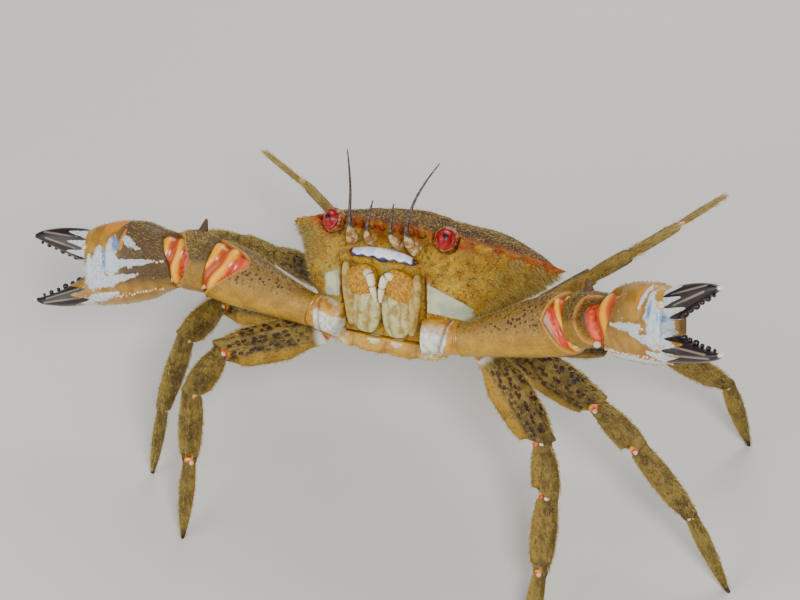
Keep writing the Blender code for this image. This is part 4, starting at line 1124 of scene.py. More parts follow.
def claw_wrist(claw):
    """The carpus with its spine."""
    seg, steps, name = claw["segs"][2], claw["steps"], claw["name"]
    length, wide = seg["length"], claw["big"] * 0.74
    lead, trail = overrun(6, steps[1], steps[2]) / length, overrun(6, steps[2], steps[3]) / length
    rows = ((-lead, 5.0, wide * 0.8, 0), (0.1, 5.6, wide * 0.92, 0.3), (0.5, 6.2, wide, 0.8),
            (0.9, 5.6, wide * 0.9, 0.4), (1 + trail, 5.0, wide * 0.8, 0))

    def spine(bm):
        foot = claw["joints"][2] + steps[2] * 0.5 + seg["up"] * wide * 0.5
        cone(bm, foot, foot + seg["up"] * (wide * 0.5 + 3.6) - seg["along"], 2.6, 24)
    arm_piece("claw_%s_carpus" % name, seg, rows, steps[1], steps[3], wide,
              WRIST_CUT[claw["side"]], lambda m: 0.35 + 0.6 * smooth((m["edge"] + 0.2) / 0.5), extra=spine)


for side, name in SIDES:
    CLAWS[side] = claw_values(side, name)
    claw_root(CLAWS[side])
    claw_upper_arm(CLAWS[side])
    claw_wrist(CLAWS[side])
print("claw arms", len(CLAWS))

# %% [markdown]
# The marks of the hands lie along short lines: streaks of white beads, a blue hollow at the hinge, an
# orange swelling on top. Each line is given on the hand itself, by millimetres along it and above its
# middle.
# %% Claws: marks of the hands
MARKS = {
    1: {"white": (((8.4, -0.4), (17.0, -1.2), 0.9), ((15.0, -2.3), (25.5, -6.0), 1.2),
                  ((19.0, -6.6), (26, -8.9), 1.0), ((20.6, 6.0), (21.8, -1.5), 2.0),
                  ((22.4, 3.0), (23.4, -3.0), 1.4), ((17.4, 3.0), (19.2, 7.5), 0.6),
                  ((2.0, -6.6), (22, -9.3), 0.55)),
        "blue": (((20.6, 4.6), (20.2, 1.6), 0.55), ((22.4, 2.0), (22.6, 0.2), 0.2)),
        "orange": (((16.2, 3.0), (17.8, 9.0), 0.8), ((20.2, 7.5), (20.4, 9.0), 0.6),
                   ((23.6, 2.6), (23.7, -0.5), 0.4))},
    -1: {"white": (((4.5, -0.4), (13.5, -0.3), 0.9), ((8.5, 3.0), (11.4, 5.6), 0.9),
                   ((9.5, -3.5), (21.5, -5.3), 1.2), ((14.7, -7.6), (25, -9.2), 1.0),
                   ((15.6, 5.5), (15.6, -1.5), 1.7), ((19.0, 3.6), (19.6, -2.8), 2.2),
                   ((21.8, 2.0), (22.6, -3.8), 1.4)),
         "blue": (((14.6, 6.4), (14.2, 3.6), 0.7), ((17.4, 3.4), (17.6, -0.6), 0.45)),
         "orange": (((12.6, 10.0), (16.5, 9.0), 1.6), ((11.8, 8.0), (13.0, 3.5), 0.6),
                    ((19.5, -2.9), (22.4, -2.9), 0.5))},
}
FIXED_EDGE, MOVING_EDGE = (-0.32, -0.7), (-0.34, -0.08)
TEETH, TEETH_FROM, TEETH_SPAN = 7, 0.12, 0.72
BEAD_STEP = 0.75
GROOVE_HIGHLIGHT_HALF = 0.18
FINGER_OPEN = 12  # degrees
BEAD_ROWS = {
    1: (((2.5, -5.9), (23, -8.4)), ((3.5, -6.7), (23, -9.2)), ((8, -0.3), (19, -1.6)),
        ((15.5, -2.6), (24, -5.6))),
    -1: (((1.5, -0.5), (12, -0.1)), ((7.3, 2.8), (11.4, 5.6)), ((8, -3.4), (19.5, -5.0)),
         ((3, -7.0), (22, -9.4))),
}

print("streaks", len(MARKS[1]["white"]) + len(MARKS[-1]["white"]))

# %% [markdown]
# A streak is soft at its sides and tapers from one end, as beads that grow smaller do. The palm's
# stations give its depth and height; both fingers carry blunt teeth that shrink towards the tip.
# %% Claws: lines and rows on the hand
def near_line(x, h, start, end, half):
    """1 on a short line, 0 further from it than its half width."""
    a, b = np.array(start), np.array(end)
    d = b - a
    t = np.clip(((x - a[0]) * d[0] + (h - a[1]) * d[1]) / (d @ d), 0, 1)
    off = np.hypot(x - a[0] - t * d[0], h - a[1] - t * d[1]) / (0.4 + 0.6 * smooth(t / 0.6))
    return smooth((half * 1.9 - off) / (half * 1.7))


def palm_rows(big, palm):
    depth = big * 0.62
    rows = [(-4.0, -0.56, 0.54, depth * 0.66), (0.12 * palm, -0.74, 0.74, depth * 0.82),
            (0.35 * palm, -0.92, 0.97, depth), (0.65 * palm, -1.0, 1.02, depth),
            (0.9 * palm, -1.0, 0.94, depth * 0.9), (palm, -0.99, 0.86, depth * 0.78)]
    return [(x / palm, half, (top - low) * 0.5 * big, (low + top) * 0.5 * big) for x, low, top, half in rows]


def finger_teeth(bm, seat, finger, big, levels):
    """A row of blunt teeth along the cutting edge of a finger."""
    for k in range(TEETH):
        spot = TEETH_FROM + TEETH_SPAN * k / (TEETH - 1)
        level = lerp(levels[0], levels[1], float(smooth(np.array(spot))))
        size = lerp(1.7, 0.7, spot) * (1.0 if k % 2 else 0.75)
        root = seat(finger * spot, level * big)
        ball(bm, root, (size * 0.62,) * 3, detail=3)

print("palm stations", len(palm_rows(1.0, 1.0)))

# %% [markdown]
# The palm is a deep box that swells in the middle and runs out into the fixed finger. Its streaks are
# raised and its hollows sunk by the same lines that colour them, so that light and colour agree.
# %% Claws: palms
def hand_values(side):
    """What both halves of a hand need: its segment, name, half height, lengths and half depth."""
    claw = CLAWS[side]
    seg, big = claw["segs"][3], claw["big"]
    return seg, claw["name"], big, claw["lengths"][3], claw["lengths"][4], big * 0.62


def strongest(x, h, lines):
    """The highest value of several lines at each point."""
    value = np.zeros_like(x)
    for a, b, half in lines:
        value = np.maximum(value, near_line(x, h, a, b, half))
    return value


def hand_palm(side):
    """The palm with its fixed finger, and the folded skin of the wrist."""
    seg, name, big, palm, finger, depth = hand_values(side)
    start, along, up = seg["start"], seg["along"], seg["up"]
    inner = camera_side(seg)
    stations = palm_rows(big, palm)
    bm = skin(segment_place(seg, stations, CLAWS[side]["steps"][2], None, hollow=-0.6, plug=0.2, flexor=inner,
                            root_back=HAND_CUT[side]), *PALM_GRID)
    q = points_of(bm) - start
    x, h, f = q @ along, q @ up, q @ inner
    shown = smooth((f + 1) / 1.5)
    rise = 0.45 * strongest(x, h, MARKS[side]["white"])
    for a, b, half in MARKS[side]["blue"]:
        rise = rise - 0.5 * near_line(x, h, a, b, half)
    rise = rise * shown + 0.3 * bell((h / big - 0.15) / 0.06) * smooth(-f) * smooth((x - 2) / 3)
    rise += 0.3 * bell((h / big + 0.5) / 0.06) * smooth(-f) * smooth((x - 2) / 3)
    raise_along_normals(bm, rise * smooth((palm + 0.5 - x) / 2))

    rows = [(-2.5, -0.95, 0.1, depth * 0.7), (0.6, -0.99, -0.16, depth * 0.62),
        (finger * 0.3, -1.0, -0.42, depth * 0.48), (finger * 0.6, -0.98, -0.62, depth * 0.38),
        (finger * 0.85, -0.92, -0.72, depth * 0.24), (finger, -0.80, -0.74, depth * 0.08)]
    fixed = dict(seg, start=start + along * (palm - 2.5), length=finger + 2.5)
    fixed_stations = [((x + 2.5) / (finger + 2.5), half, (top - low) * 0.5 * big, (low + top) * 0.5 * big)
                      for x, low, top, half in rows]
    finger_bm = skin(segment_place(fixed, fixed_stations, None, None, tip=True), *FIXED_GRID)
    finger_teeth(finger_bm, lambda x, h: start + along * (palm + x) + up * h, finger, big, FIXED_EDGE)
    add_mesh(bm, finger_bm)
    q = points_of(bm) - start
    mm = np.stack((q @ along, q @ up, q @ inner), 1)
    x, h, f = mm[:, 0], mm[:, 1], mm[:, 2]
    shown = smooth((f + 1) / 1.5)
    masks = {"mm": mm}
    for kind in ("white", "blue", "orange"):
        masks[kind] = strongest(x, h, MARKS[side][kind]) * shown
    tongue = 2.6 * np.sin(h * 2.4 + 0.6)
    masks["black"] = smooth((x - palm - 1.4 - tongue - 0.25 * (h + big)) / 1.6)
    hand_felt = ((0.95 if side < 0 else 0.4) * smooth((0.7 * palm - x) / 5)
                 * smooth((h / big + (0.75 if side < 0 else 0.35)) / 0.4))
    masks["felt"] = np.clip(hand_felt + smooth((-f - 1) / 2) * 0.85, 0, 1) * (1 - masks["black"])
    # Highlights painted as pale lines along the fixed finger.
    groove_highlights = (((palm + 1, -0.55 * big), (palm + finger * 0.75, -0.78 * big), GROOVE_HIGHLIGHT_HALF),
               ((palm + 1, -0.8 * big), (palm + finger * 0.8, -0.88 * big), GROOVE_HIGHLIGHT_HALF))
    masks["groove_highlight_and_shade"] = strongest(x, h, groove_highlights) * (x > palm) * 0.9
    masks["tipwhite"] = smooth((x - palm - finger * 0.93) / 0.6)
    finish(bm, "claw_%s_palm_shell" % name, PALM, ("claw_%s_palm" % name,), masks)
    low, top = (-6.5, 13.5) if side > 0 else (-8.5, 4.0)
    sleeve("claw_%s_wrist_skin" % name, seg, stations, low, top, low + 1.5, top - 0.5, None, 0.88)

print("teeth of a finger", TEETH)

# %% [markdown]
# The upper finger turns on a white pivot and is held open. It is black from a third of its length on,
# with highlights painted as pale lines along its grooves and a white point; its base is as white and orange
# as the end of the palm.
# %% Claws: movable fingers
def moving_finger(side):
    seg, name, big, palm, finger, depth = hand_values(side)
    start, along, up, inner = seg["start"], seg["along"], seg["up"], camera_side(seg)
    tilt = math.radians(FINGER_OPEN)
    ahead = unit(along * math.cos(tilt) + up * math.sin(tilt))
    above = unit(up * math.cos(tilt) - along * math.sin(tilt))
    hinge = start + along * palm + up * (0.42 * big)
    rows = ((-0.12, -0.36, 0.36, 0.55), (0.1, -0.38, 0.42, 0.52), (0.35, -0.28, 0.4, 0.44),
        (0.62, -0.16, 0.32, 0.34), (0.85, -0.06, 0.2, 0.22), (1.0, 0.0, 0.05, 0.08))
    dactyl = {"start": hinge, "along": ahead, "up": above, "side": np.cross(ahead, above), "length": finger}
    stations = [(p, depth * half, (top - low) * 0.5 * big, (low + top) * 0.5 * big)
                for p, low, top, half in rows]
    bm = skin(segment_place(dactyl, stations, None, None, tip=True), *MOVING_GRID)
    finger_teeth(bm, lambda x, h: hinge + ahead * x + above * h, finger, big, MOVING_EDGE)
    q = points_of(bm) - hinge
    mm = np.stack((q @ ahead, q @ above, q @ inner), 1)
    x, h = mm[:, 0], mm[:, 1]
    base = smooth((0.26 * finger - x + 2.8 * np.sin(h * 2.6)) / 2.0)
    masks = {"mm": mm, "black": 1 - base, "tipwhite": smooth((x / finger - 0.94) / 0.04), "white": base * 0.9,
             "orange": base * bell((h - 0.3 * big) / 0.5) * 0.6}
    # Highlights painted as pale lines along the movable finger.
    groove_highlights = (((0.2 * finger, 0.2 * big), (0.8 * finger, 0.18 * big), GROOVE_HIGHLIGHT_HALF),
               ((0.2 * finger, -0.08 * big), (0.75 * finger, 0.04 * big), GROOVE_HIGHLIGHT_HALF))
    masks["groove_highlight_and_shade"] = strongest(x, h, groove_highlights) * 0.9
    masks["blue"] = masks["felt"] = np.zeros_like(x)
    finish(bm, "claw_%s_dactyl_shell" % name, PALM, ("claw_%s_dactyl" % name,), masks)

print("hands use", PALM.name)

# %% [markdown]
# On the streaks stand round white grains, and the elbow, the wrist and the finger turn on white knobs.
# Real beads break the light one by one, so they are small balls and not only a pattern.
# %% Claws: beads and pivots
def hand_beads(side):
    """Rows of white beads on the side of the hand that shows, each a small round grain."""
    claw = CLAWS[side]
    seg, big = claw["segs"][3], claw["big"]
    stations = palm_rows(big, claw["lengths"][3])
    knots = [s[0] * seg["length"] for s in stations]
    inner = camera_side(seg)
    rng = np.random.default_rng(4)
    bm = empty()
    for (x0, h0), (x1, h1) in BEAD_ROWS[side]:
        count = int(np.hypot(x1 - x0, h1 - h0) / BEAD_STEP)
        for k in range(count):
            t = (k + 0.5 + rng.uniform(-0.2, 0.2)) / count
            x, h = lerp(x0, x1, t), lerp(h0, h1, t) + rng.uniform(-0.25, 0.25)
            thick, high, lift = (float(flow(np.array([x]), knots, [s[i] for s in stations])[0])
                for i in (1, 2, 3))
            c = math.sqrt(max(1 - min(abs((h - lift) / high), 1) ** 2.4, 0.0)) ** (2 / 2.4)
            at = seg["start"] + seg["along"] * x + seg["up"] * h + inner * (c * thick + 0.12)
            ball(bm, at, (rng.uniform(0.26, 0.42),) * 3, detail=2)
    mm = points_of(bm)
    finish(bm, "claw_%s_hand_beads" % claw["name"], KNOB, (), {"mm": mm})


def claw_knobs(side):
    """The white pivots of the elbow, the wrist and the finger."""
    claw = CLAWS[side]
    joints, segs, big = claw["joints"], claw["segs"], claw["big"]
    bm = empty()
    for k, h, f, r in ((2, -5.2, 2.6, 0.95), (3, -5.0, 2.8, 1.0), (4, 0.42 * big, 0.62 * big * 0.6, 1.2)):
        inner = camera_side(segs[k - 1])
        ball(bm, joints[k] + segs[k - 1]["up"] * h + inner * f, (r, r * 0.8, r * 0.8),
             (segs[k - 1]["along"], segs[k - 1]["up"], inner), detail=4)
    finish(bm, "claw_%s_knobs" % claw["name"], KNOB, (), {"mm": points_of(bm)})


for side in (1, -1):
    hand_palm(side)
    moving_finger(side)
    hand_beads(side)
    claw_knobs(side)
print("pieces", len(PIECES))

# %% [markdown]
# The mouth field carries a pair of outer jaws: a pale grooved plate below, a rough orange plate above it,
# a narrow olive branch at the side and a cream feeler of three joints that hangs down the middle. Each is
# a plate with a rounded edge laid on the slope of the face. Above them lies a smooth blue-white bar.
# %% Plates on the face
MOUTH_OUT = unit(vector(0, -(FACE_TOP_Z - BASE_FRONT_Z), -(BASE_FRONT_Y - FACE_TOP_Y)))
UNDER = unit(np.cross(vector(0, 1, BASE_RISE), LEFT))
UNDER = UNDER if UNDER @ DORSAL < 0 else -UNDER
MOUTH_PLATES = (("lower", (4.0, -18.6), 3.7, 5.3, 6, 2.3), ("upper", (4.9, -12.3), 3.9, 3.5, -14, 2.6),
                ("branch", (8.9, -16.0), 1.45, 7.0, -7, 2.0), ("whip", (6.8, -17.2), 2.0, 3.2, 0, 1.2))
PALP_RADII, PALP_JOINTS = (1.05, 1.05, 0.9, 0.32), (0.36, 0.66)
PALP = ((4.2, -10.6, 1.4), (2.3, -10.3, 2.9), (1.35, -12.6, 3.3), (0.65, -16.0, 2.9))


def closed(points, w):
    """A closed smooth outline through points, w from 0 to 1."""
    loop = np.array(list(points[-1:]) + list(points) + list(points[:2]), float)
    return spline(loop, 1 + w * len(points))


def pillow(outline, lay, normal, thick, relief=None, along=44, around=96, crown=0.25):
    """A plate with a rounded edge on a closed outline; lay puts (a, b) on the surface that carries it."""
    middle = np.array(outline, float).mean(0)

    def place(u, w):
        angle = (u - 0.5) * np.pi
        r = np.abs(np.cos(angle)) ** (2 / 3.4)
        rise = 0.5 + 0.5 * np.sign(np.sin(angle)) * np.abs(np.sin(angle)) ** (2 / 3.4)
        ab = middle + (closed(outline, w) - middle) * r[:, None]
        top = smooth((u - 0.6) / 0.2)
        height = thick * (rise + crown * (1 - r * r) * top)
        if relief is not None:
            height = height + relief(ab[:, 0], ab[:, 1]) * top
        return lay(ab[:, 0], ab[:, 1]) + np.multiply.outer(height, normal)
    return skin(place, along, around)


def on_face(x, z):
    return body(x, face_y(z), z) + MOUTH_OUT * 0.3


def oval(centre, half_width, half_height, lean, count=14, power=2.6):
    c, s = math.cos(lean), math.sin(lean)
    points = []
    for i in range(count):
        a = 2 * math.pi * i / count
        x = math.copysign(abs(math.cos(a)) ** (2 / power), math.cos(a)) * half_width
        y = math.copysign(abs(math.sin(a)) ** (2 / power), math.sin(a)) * half_height
        points.append((centre[0] + c * x - s * y, centre[1] + s * x + c * y))
    return points

print("a point of an outline", closed([(0, 0), (1, 0), (1, 1)], np.array([0.5])).round(2))

# %% [markdown]
# The feelers of jaw and brow are round, taper, and are narrower at each joint. A tube swept along a
# smooth curve keeps its roundness in the bends, which a bevelled curve object would too, but this one is
# closed at its ends and carries its own masks.
# %% Tubes
def tube(points, radii, around=14, along=60, waists=()):
    """A round tapering tube along a smooth curve, closed at both ends, with narrow waists at its joints."""
    points, radii = np.array(points, float), np.array(radii, float)
    last = len(points) - 1

    def place(u, w):
        t = np.clip((u - 0.04) / 0.92, 0, 1) * last
        centre = spline(points, t)
        along_curve = spline(points, np.clip(t + 0.05, 0, last)) - spline(points, np.clip(t - 0.05, 0, last))
        along_curve /= np.linalg.norm(along_curve, axis=1)[:, None]
        side = np.cross(along_curve, DORSAL + 0.3 * LEFT)
        side /= np.linalg.norm(side, axis=1)[:, None]
        up = np.cross(side, along_curve)
        r = (flow(t, np.arange(last + 1), radii)
             * np.sin(np.clip(np.minimum(u, 1 - u) / 0.04, 0, 1) * np.pi / 2))
        for at in waists:
            r = r * (1 - 0.3 * bell((u - at) / 0.02))
        a = 2 * np.pi * w
        return centre + side * (r * np.cos(a))[:, None] + up * (r * np.sin(a))[:, None]
    return skin(place, along, around)

print("mouth faces", MOUTH_OUT.round(2), "underside faces", UNDER.round(2))

# %% [markdown]
# Jaw plates are thick dull shell with a grain of 0.6 mm like orange peel, worn pale, with shade painted
# darker into their grooves.
# %% Material: rough mouth shell
MOUTH, shader, add, mm, orange, pale, cream, groove_highlight_and_shade, ring = begin(
    "rough_mouth_shell", "mm", "orange", "pale", "cream", "groove_highlight_and_shade", "ring")
clouds = add(NOISE, mm, 0.5, 3)
base = add(MIX, add(STEP, clouds, 0.38, 0.62), "#967214", "#BE9636")
rough = add(MIX, add(STEP, add(NOISE, mm, 1.4, 4, 0.65), 0.42, 0.6), "#A06A04", "#D2961A")
base = add(MIX, orange, base, rough)
worn = add(TIMES, pale, add(STEP, clouds, 0.35, 0.6, 0.25, 1.0))
base = add(MIX, worn, base, "#CBC68A")
# Painted shade: the cut grooves of the jaw plates are darkened.
base = add(MIX, add(TIMES, groove_highlight_and_shade, 0.6), base, "#9A7420")
dots = add(STEP, add(NOISE, mm, 2.2, 3, 0.6), 0.56, 0.68)
base = add(MIX, add(TIMES, dots, 0.5), base, "#5B4322")
base = add(MIX, cream, base, "#F0E2C0")
base = add(MIX, ring, base, "#6A2E18")
feed(shader, Base_Color=base, Roughness=add(STEP, cream, 0, 1, 0.5, 0.28), IOR=1.5,
    Normal=add(BUMP, add(NOISE, mm, 1.6, 4, 0.6), 0.35 * MM))
print("made", MOUTH.name)

# %% [markdown]
# The outer jaws close the mouth like two doors: a grooved lower plate, a rough upper one, a slim branch
# beside them and a jointed feeler. Each is one pillow on the slope of the face, with its grooves cut as
# relief.
# %% Jaws
def mouth_plate(side, name, part, centre, width, height, lean, thick):
    outline = oval((side * centre[0], centre[1]), width, height, side * math.radians(lean))
    lines = {"lower": (2.5, 5.7), "branch": (9.2,), "upper": (), "whip": ()}[part]

    def cuts(a, b):
        lean_back = np.abs(a) + 0.12 * (b - centre[1])
        return sum((bell((lean_back - s + 0.25 * np.sin(b * 1.1)) / 0.35) for s in lines), np.zeros_like(a))

    def grain(a, b):
        return -0.35 * cuts(a, b) + 0.12 * np.sin(a * 5.0) * np.sin(b * 4.0) * (part == "upper")

    bm = pillow(outline, on_face, MOUTH_OUT, thick, grain)
    mm = to_body(points_of(bm))
    flat = np.ones(len(mm))
    # The groove mask paints shade into the grooves that are cut as relief.
    masks = {"mm": mm, "orange": flat * (part == "upper"),
        "pale": flat * {"lower": 0.95, "branch": 0.35}.get(part, 0.0),
        "groove_highlight_and_shade": np.clip(cuts(mm[:, 0], mm[:, 2]), 0, 1)}
    finish(bm, "jaw_%s_%s" % (part, name), MOUTH,
        ("maxilliped_" + name,) if part == "lower" else (), masks)


def palp(side, name):
    path = [on_face(side * x, v) + MOUTH_OUT * h for x, v, h in PALP]
    bm = tube(path, PALP_RADII, 28, 90, waists=PALP_JOINTS)
    share = grid_along(bm)
    ring = 0.8 * (bell((share - PALP_JOINTS[0]) / 0.018) + bell((share - PALP_JOINTS[1]) / 0.015))
    finish(bm, "palp_" + name, MOUTH, (),
        {"mm": to_body(points_of(bm)), "cream": np.ones(len(share)), "ring": ring})


for side, name in SIDES:
    for part, *sizes in MOUTH_PLATES:
        mouth_plate(side, name, part, *sizes)
    palp(side, name)
print("pieces", len(PIECES))

# %% [markdown]
# The bar above the mouth is bare polished shell, so it gleams like porcelain: blue-white in clouds of 2
# mm, with a wavy dark violet lower edge.
# %% Bar above the mouth
EPISTOME, shader, add, mm, violet, dark = begin("polished_white_shell", "mm", "violet", "dark")
base = add(MIX, add(STEP, add(NOISE, mm, 0.5, 3), 0.4, 0.6), "#EEF1F2", "#C5CDEA")
base = add(MIX, violet, base, "#2A1C50")
base = add(MIX, dark, base, "#3A1420")
feed(shader, Base_Color=base, Roughness=0.22, IOR=1.5, Coat_Weight=0.4)
bar = [(9.0, -6.6), (8.2, -7.9), (5.4, -7.9), (2.6, -7.7), (0, -8.4), (-2.6, -7.7), (-5.4, -7.9),
    (-8.2, -7.9), (-9.0, -6.6), (-5, -5.4), (0, -5.0), (5, -5.4)]
bm = pillow(bar, lambda x, z: body(x, np.full_like(x, FACE_TOP_Y - 0.3), z), -BACK, 1.6, along=60, around=160)
mm = to_body(points_of(bm))
wave = 0.225 * np.sin(mm[:, 0] * 2.2)
finish(bm, "mouth_bar", EPISTOME, ("epistome",),
    {"mm": mm, "violet": smooth((-mm[:, 2] - 7.3 + wave) / 0.3),
    "dark": smooth((np.abs(mm[:, 0]) - 7.6) / 0.7)})
print("wave of the lower edge", wave.min().round(3), "to", wave.max().round(3), "mm")

# %% [markdown]
# Below the mouth the breastplate is thin bare shell with a waxy, wide shine, pale gold with white patches
# of about 2.5 mm and a fine grain. The narrow tail lies folded on it.
# %% Underside
UNDERSIDE, shader, add, mm, white_mask, seam = begin("waxy_breastplate_shell", "mm", "white", "seam")
clouds = add(NOISE, mm, 0.25, 3)
base = add(MIX, add(STEP, clouds, 0.38, 0.6), "#AC7814", "#CC9A2E")
white = add(PLUS, add(STEP, add(NOISE, mm, 0.4, 3), 0.62, 0.72), white_mask)
base = add(MIX, add(STEP, add(PLUS, white, add(TIMES, add(NOISE, mm, 0.6, 4), 0.8)), 0.75, 1.15), base,
    "#D9D6B4")
base = add(MIX, add(STEP, add(NOISE, mm, 2.2, 3, 0.6), 0.56, 0.68, 0, 0.6), base, "#7A5628")
base = add(MIX, seam, base, "#6A4420")
feed(shader, Base_Color=base, Roughness=0.42, IOR=1.5, Normal=add(BUMP, add(NOISE, mm, 1.4, 4), 0.25 * MM))

print("made", UNDERSIDE.name)

# %% [markdown]
# The breastplate fills the underside between the legs, with a lobe in front of it and the narrow folded
# tail of a male on it. Half an outline is enough, because the other half is its mirror.
# %% Underside: outlines
def on_base(x, y):
    return body(x, y, base_height(y))


def mirrored(half):
    return list(half) + [(-x, y) for x, y in reversed(half[1:-1])]


STERNUM = ((0, 12.6), (6, 12.4), (12.0, 13.2), (12.9, 19), (12.0, 29), (10.4, 42), (7, 47.5), (0, 49))
BREAST_LOBE = ((0, 12.5), (6, 12.3), (11, 12.2), (14.6, 12.8), (15.8, 14.8), (14, 17.2), (9, 17.4),
    (4, 17.0), (0, 16.8))
TAIL = ((0, 17.5), (1.6, 18.2), (3.0, 24), (6.3, 31), (6.8, 38), (5.4, 46.5), (0, 47.2))
SEAMS, BANDS = (19, 26.5, 34, 41), (22.5, 27, 31.5, 36.5, 41.5)


def seam_lines(x, y, width):
    lines = sum(bell((y - s + 0.12 * np.abs(x)) / width) for s in SEAMS)
    return lines * smooth((np.abs(x) - 3) / 2)

print("seams", len(SEAMS), "bands", len(BANDS))

# %% [markdown]
# Three pillows lie on each other: plate, lobe and tail. Seams between the plates and bands of the tail
# are cut as relief and darkened by a mask, so they show in any light.
# %% Underside: the plates
bm = pillow(mirrored(STERNUM), lambda x, y: on_base(x, y) + UNDER * 0.3, UNDER, 1.5, along=80, around=160,
    crown=0.12, relief=lambda a, b: -0.4 * seam_lines(a, b, 0.4))
mm = to_body(points_of(bm))
finish(bm, "breastplate", UNDERSIDE, ("sternum",),
    {"mm": mm, "seam": seam_lines(mm[:, 0], mm[:, 1], 0.35) * 0.7})


def lobe_relief(a, b):
    return (-0.5 * bell(a / 0.7) - 0.9 * bell((np.abs(a) - 8.6) / 0.8)
            - 0.8 * smooth((np.abs(a) - 10) / 5) + 0.15 * np.sin(a * 2.3) * np.sin(b * 2.9))


bm = pillow(mirrored(BREAST_LOBE), lambda x, y: on_base(x, y) + UNDER * 0.4, UNDER, 4.0, along=60,
            around=150, crown=0.14, relief=lobe_relief)
mm = to_body(points_of(bm))
x, y = np.abs(mm[:, 0]), mm[:, 1]
lobe_white = (0.9 * smooth(1.5 - np.hypot((x - 3.2) / 1.7, (mm[:, 2] + 25.6) / 1.4))
              + 0.55 * smooth((x - 9.0) / 1.2))
finish(bm, "breast_lobe", UNDERSIDE, (),
       {"mm": mm, "white": lobe_white, "seam": 0.5 * bell(x / 0.4) + 0.6 * bell((x - 8.6) / 0.35)})

bm = pillow(mirrored(TAIL), lambda x, y: on_base(x, y) + UNDER * 2.1, UNDER, 1.2, along=80, around=140,
    crown=0.25, relief=lambda a, b: -0.3 * sum(bell((b - s) / 0.35) for s in BANDS))
mm = to_body(points_of(bm))
finish(bm, "tail_flap", UNDERSIDE, ("abdomen",),
       {"mm": mm, "seam": 0.6 * sum(bell((mm[:, 1] - s) / 0.3) for s in BANDS)})
print("pieces", len(PIECES))

# %% [markdown]
# The eyes are a clear wet cornea over dark red, which gives one sharp highlight. Each sits on a short
# stalk in a cup of shell with a dark ring round the red. The real facets are a few hundredths of a
# millimetre wide and are drawn at 0.2 mm, so that they break the light at all.
# %% Eyes
EYEBALL, shader, add, mm, cup, pupil = begin("wet_red_eye", "mm", "cup", "pupil")
base = add(MIX, add(STEP, add(NOISE, mm, 0.9, 3), 0.4, 0.65), "#740003", "#B20503")
base = add(MIX, cup, base, add(MIX, add(STEP, add(NOISE, mm, 1.2, 3), 0.4, 0.6), "#6E3210", "#B4783C"))
base = add(MIX, pupil, base, "#1A0206")
cells = add(SPOTS, mm, 5.0, 0.3)
feed(shader, Base_Color=base, Roughness=0.24, IOR=1.4, Coat_Weight=0.25, Normal=add(BUMP, cells, 0.05 * MM))

print("made", EYEBALL.name)

# %% [markdown]
# The eye is a cup of shell with a groove and the red cornea swelling out of it. One turned profile has
# all three, and masks by the place along it divide the colours cleanly.
# %% Eyes: the turned form
def eye(side, name):
    """One turned form: a cup of shell, a groove round it, and the swelling red cornea in front."""
    look = unit(-BACK * 0.85 - DORSAL * 0.05 + LEFT * side * 0.2)
    centre = body(side * EYE[0], EYE[1], EYE[2] + 0.2)
    across = unit(np.cross(look, DORSAL))
    above = np.cross(across, look)

    def place(u, w):
        a, turn = np.pi * u, 2 * np.pi * w
        r = EYE_RADIUS * np.sin(a) * (1 - 0.10 * bell((u - 0.36) / 0.03) - 0.2 * smooth((0.33 - u) / 0.05))
        ahead = EYE_RADIUS * np.cos(a) * (1 + 0.02 * smooth((0.33 - u) / 0.05))
        return (centre + np.multiply.outer(ahead, look) + np.multiply.outer(r * np.cos(turn), across)
                + np.multiply.outer(r * np.sin(turn) * 1.04, above))

    bm = skin(place, 90, 96)
    share = grid_along(bm)
    q = points_of(bm) - centre
    mm = np.stack((q @ across, q @ above, q @ look), 1)
    dot = smooth((0.75 - np.hypot(mm[:, 0] + 0.3, mm[:, 1] - 0.5)) / 0.25) * (mm[:, 2] > 0)
    finish(bm, "eye_ball_" + name, EYEBALL, ("eye_" + name,),
        {"mm": mm, "cup": smooth((share - 0.35) / 0.03),
        "pupil": np.clip(dot + 0.9 * bell((share - 0.345) / 0.022), 0, 1)})


for side, name in SIDES:
    eye(side, name)
print("eyes of radius", EYE_RADIUS)

# %% [markdown]
# Two pairs of feelers: the long ones are thin ringed whips of horn on stout pale bases, with a dull
# sheen; the short ones fold down. Their rings are drawn half a millimetre wide, coarser than real ones.
# %% Feelers
FEELER, shader, add, mm, pale = begin("ringed_feeler", "mm", "pale")
rings = add(STEP, add(NOISE, mm, 2.0, 1), 0.45, 0.55)
base = add(MIX, rings, "#2A211B", "#64523E")
stout = add(MIX, add(STEP, add(NOISE, mm, 0.6, 3), 0.42, 0.62), "#8E5E18", "#CBB788")
base = add(MIX, pale, base, stout)
feed(shader, Base_Color=base, Roughness=0.4, IOR=1.5, Normal=add(BUMP, add(NOISE, mm, 1.5, 3), 0.15 * MM))
LONG_FEELER = ((8.6, 1.4, -4.2), (8.0, -0.8, -3.4), (7.6, -3.0, -2.0), (7.8, -4.6, 1.2), (8.6, -5.2, 6.2),
               (10.4, -5.0, 11.5), (12.4, -4.4, 16.0))
LONG_RADII = (1.6, 1.45, 0.85, 0.42, 0.32, 0.24, 0.12)
SHORT_FEELER = ((4.0, 1.6, -3.6), (3.6, -0.6, -3.2), (3.2, -2.8, -2.0), (3.0, -3.8, 1.2), (2.8, -4.0, 5.0))
SHORT_RADII = (1.4, 1.2, 0.6, 0.35, 0.14)
print("long feeler of", len(LONG_RADII), "stations")

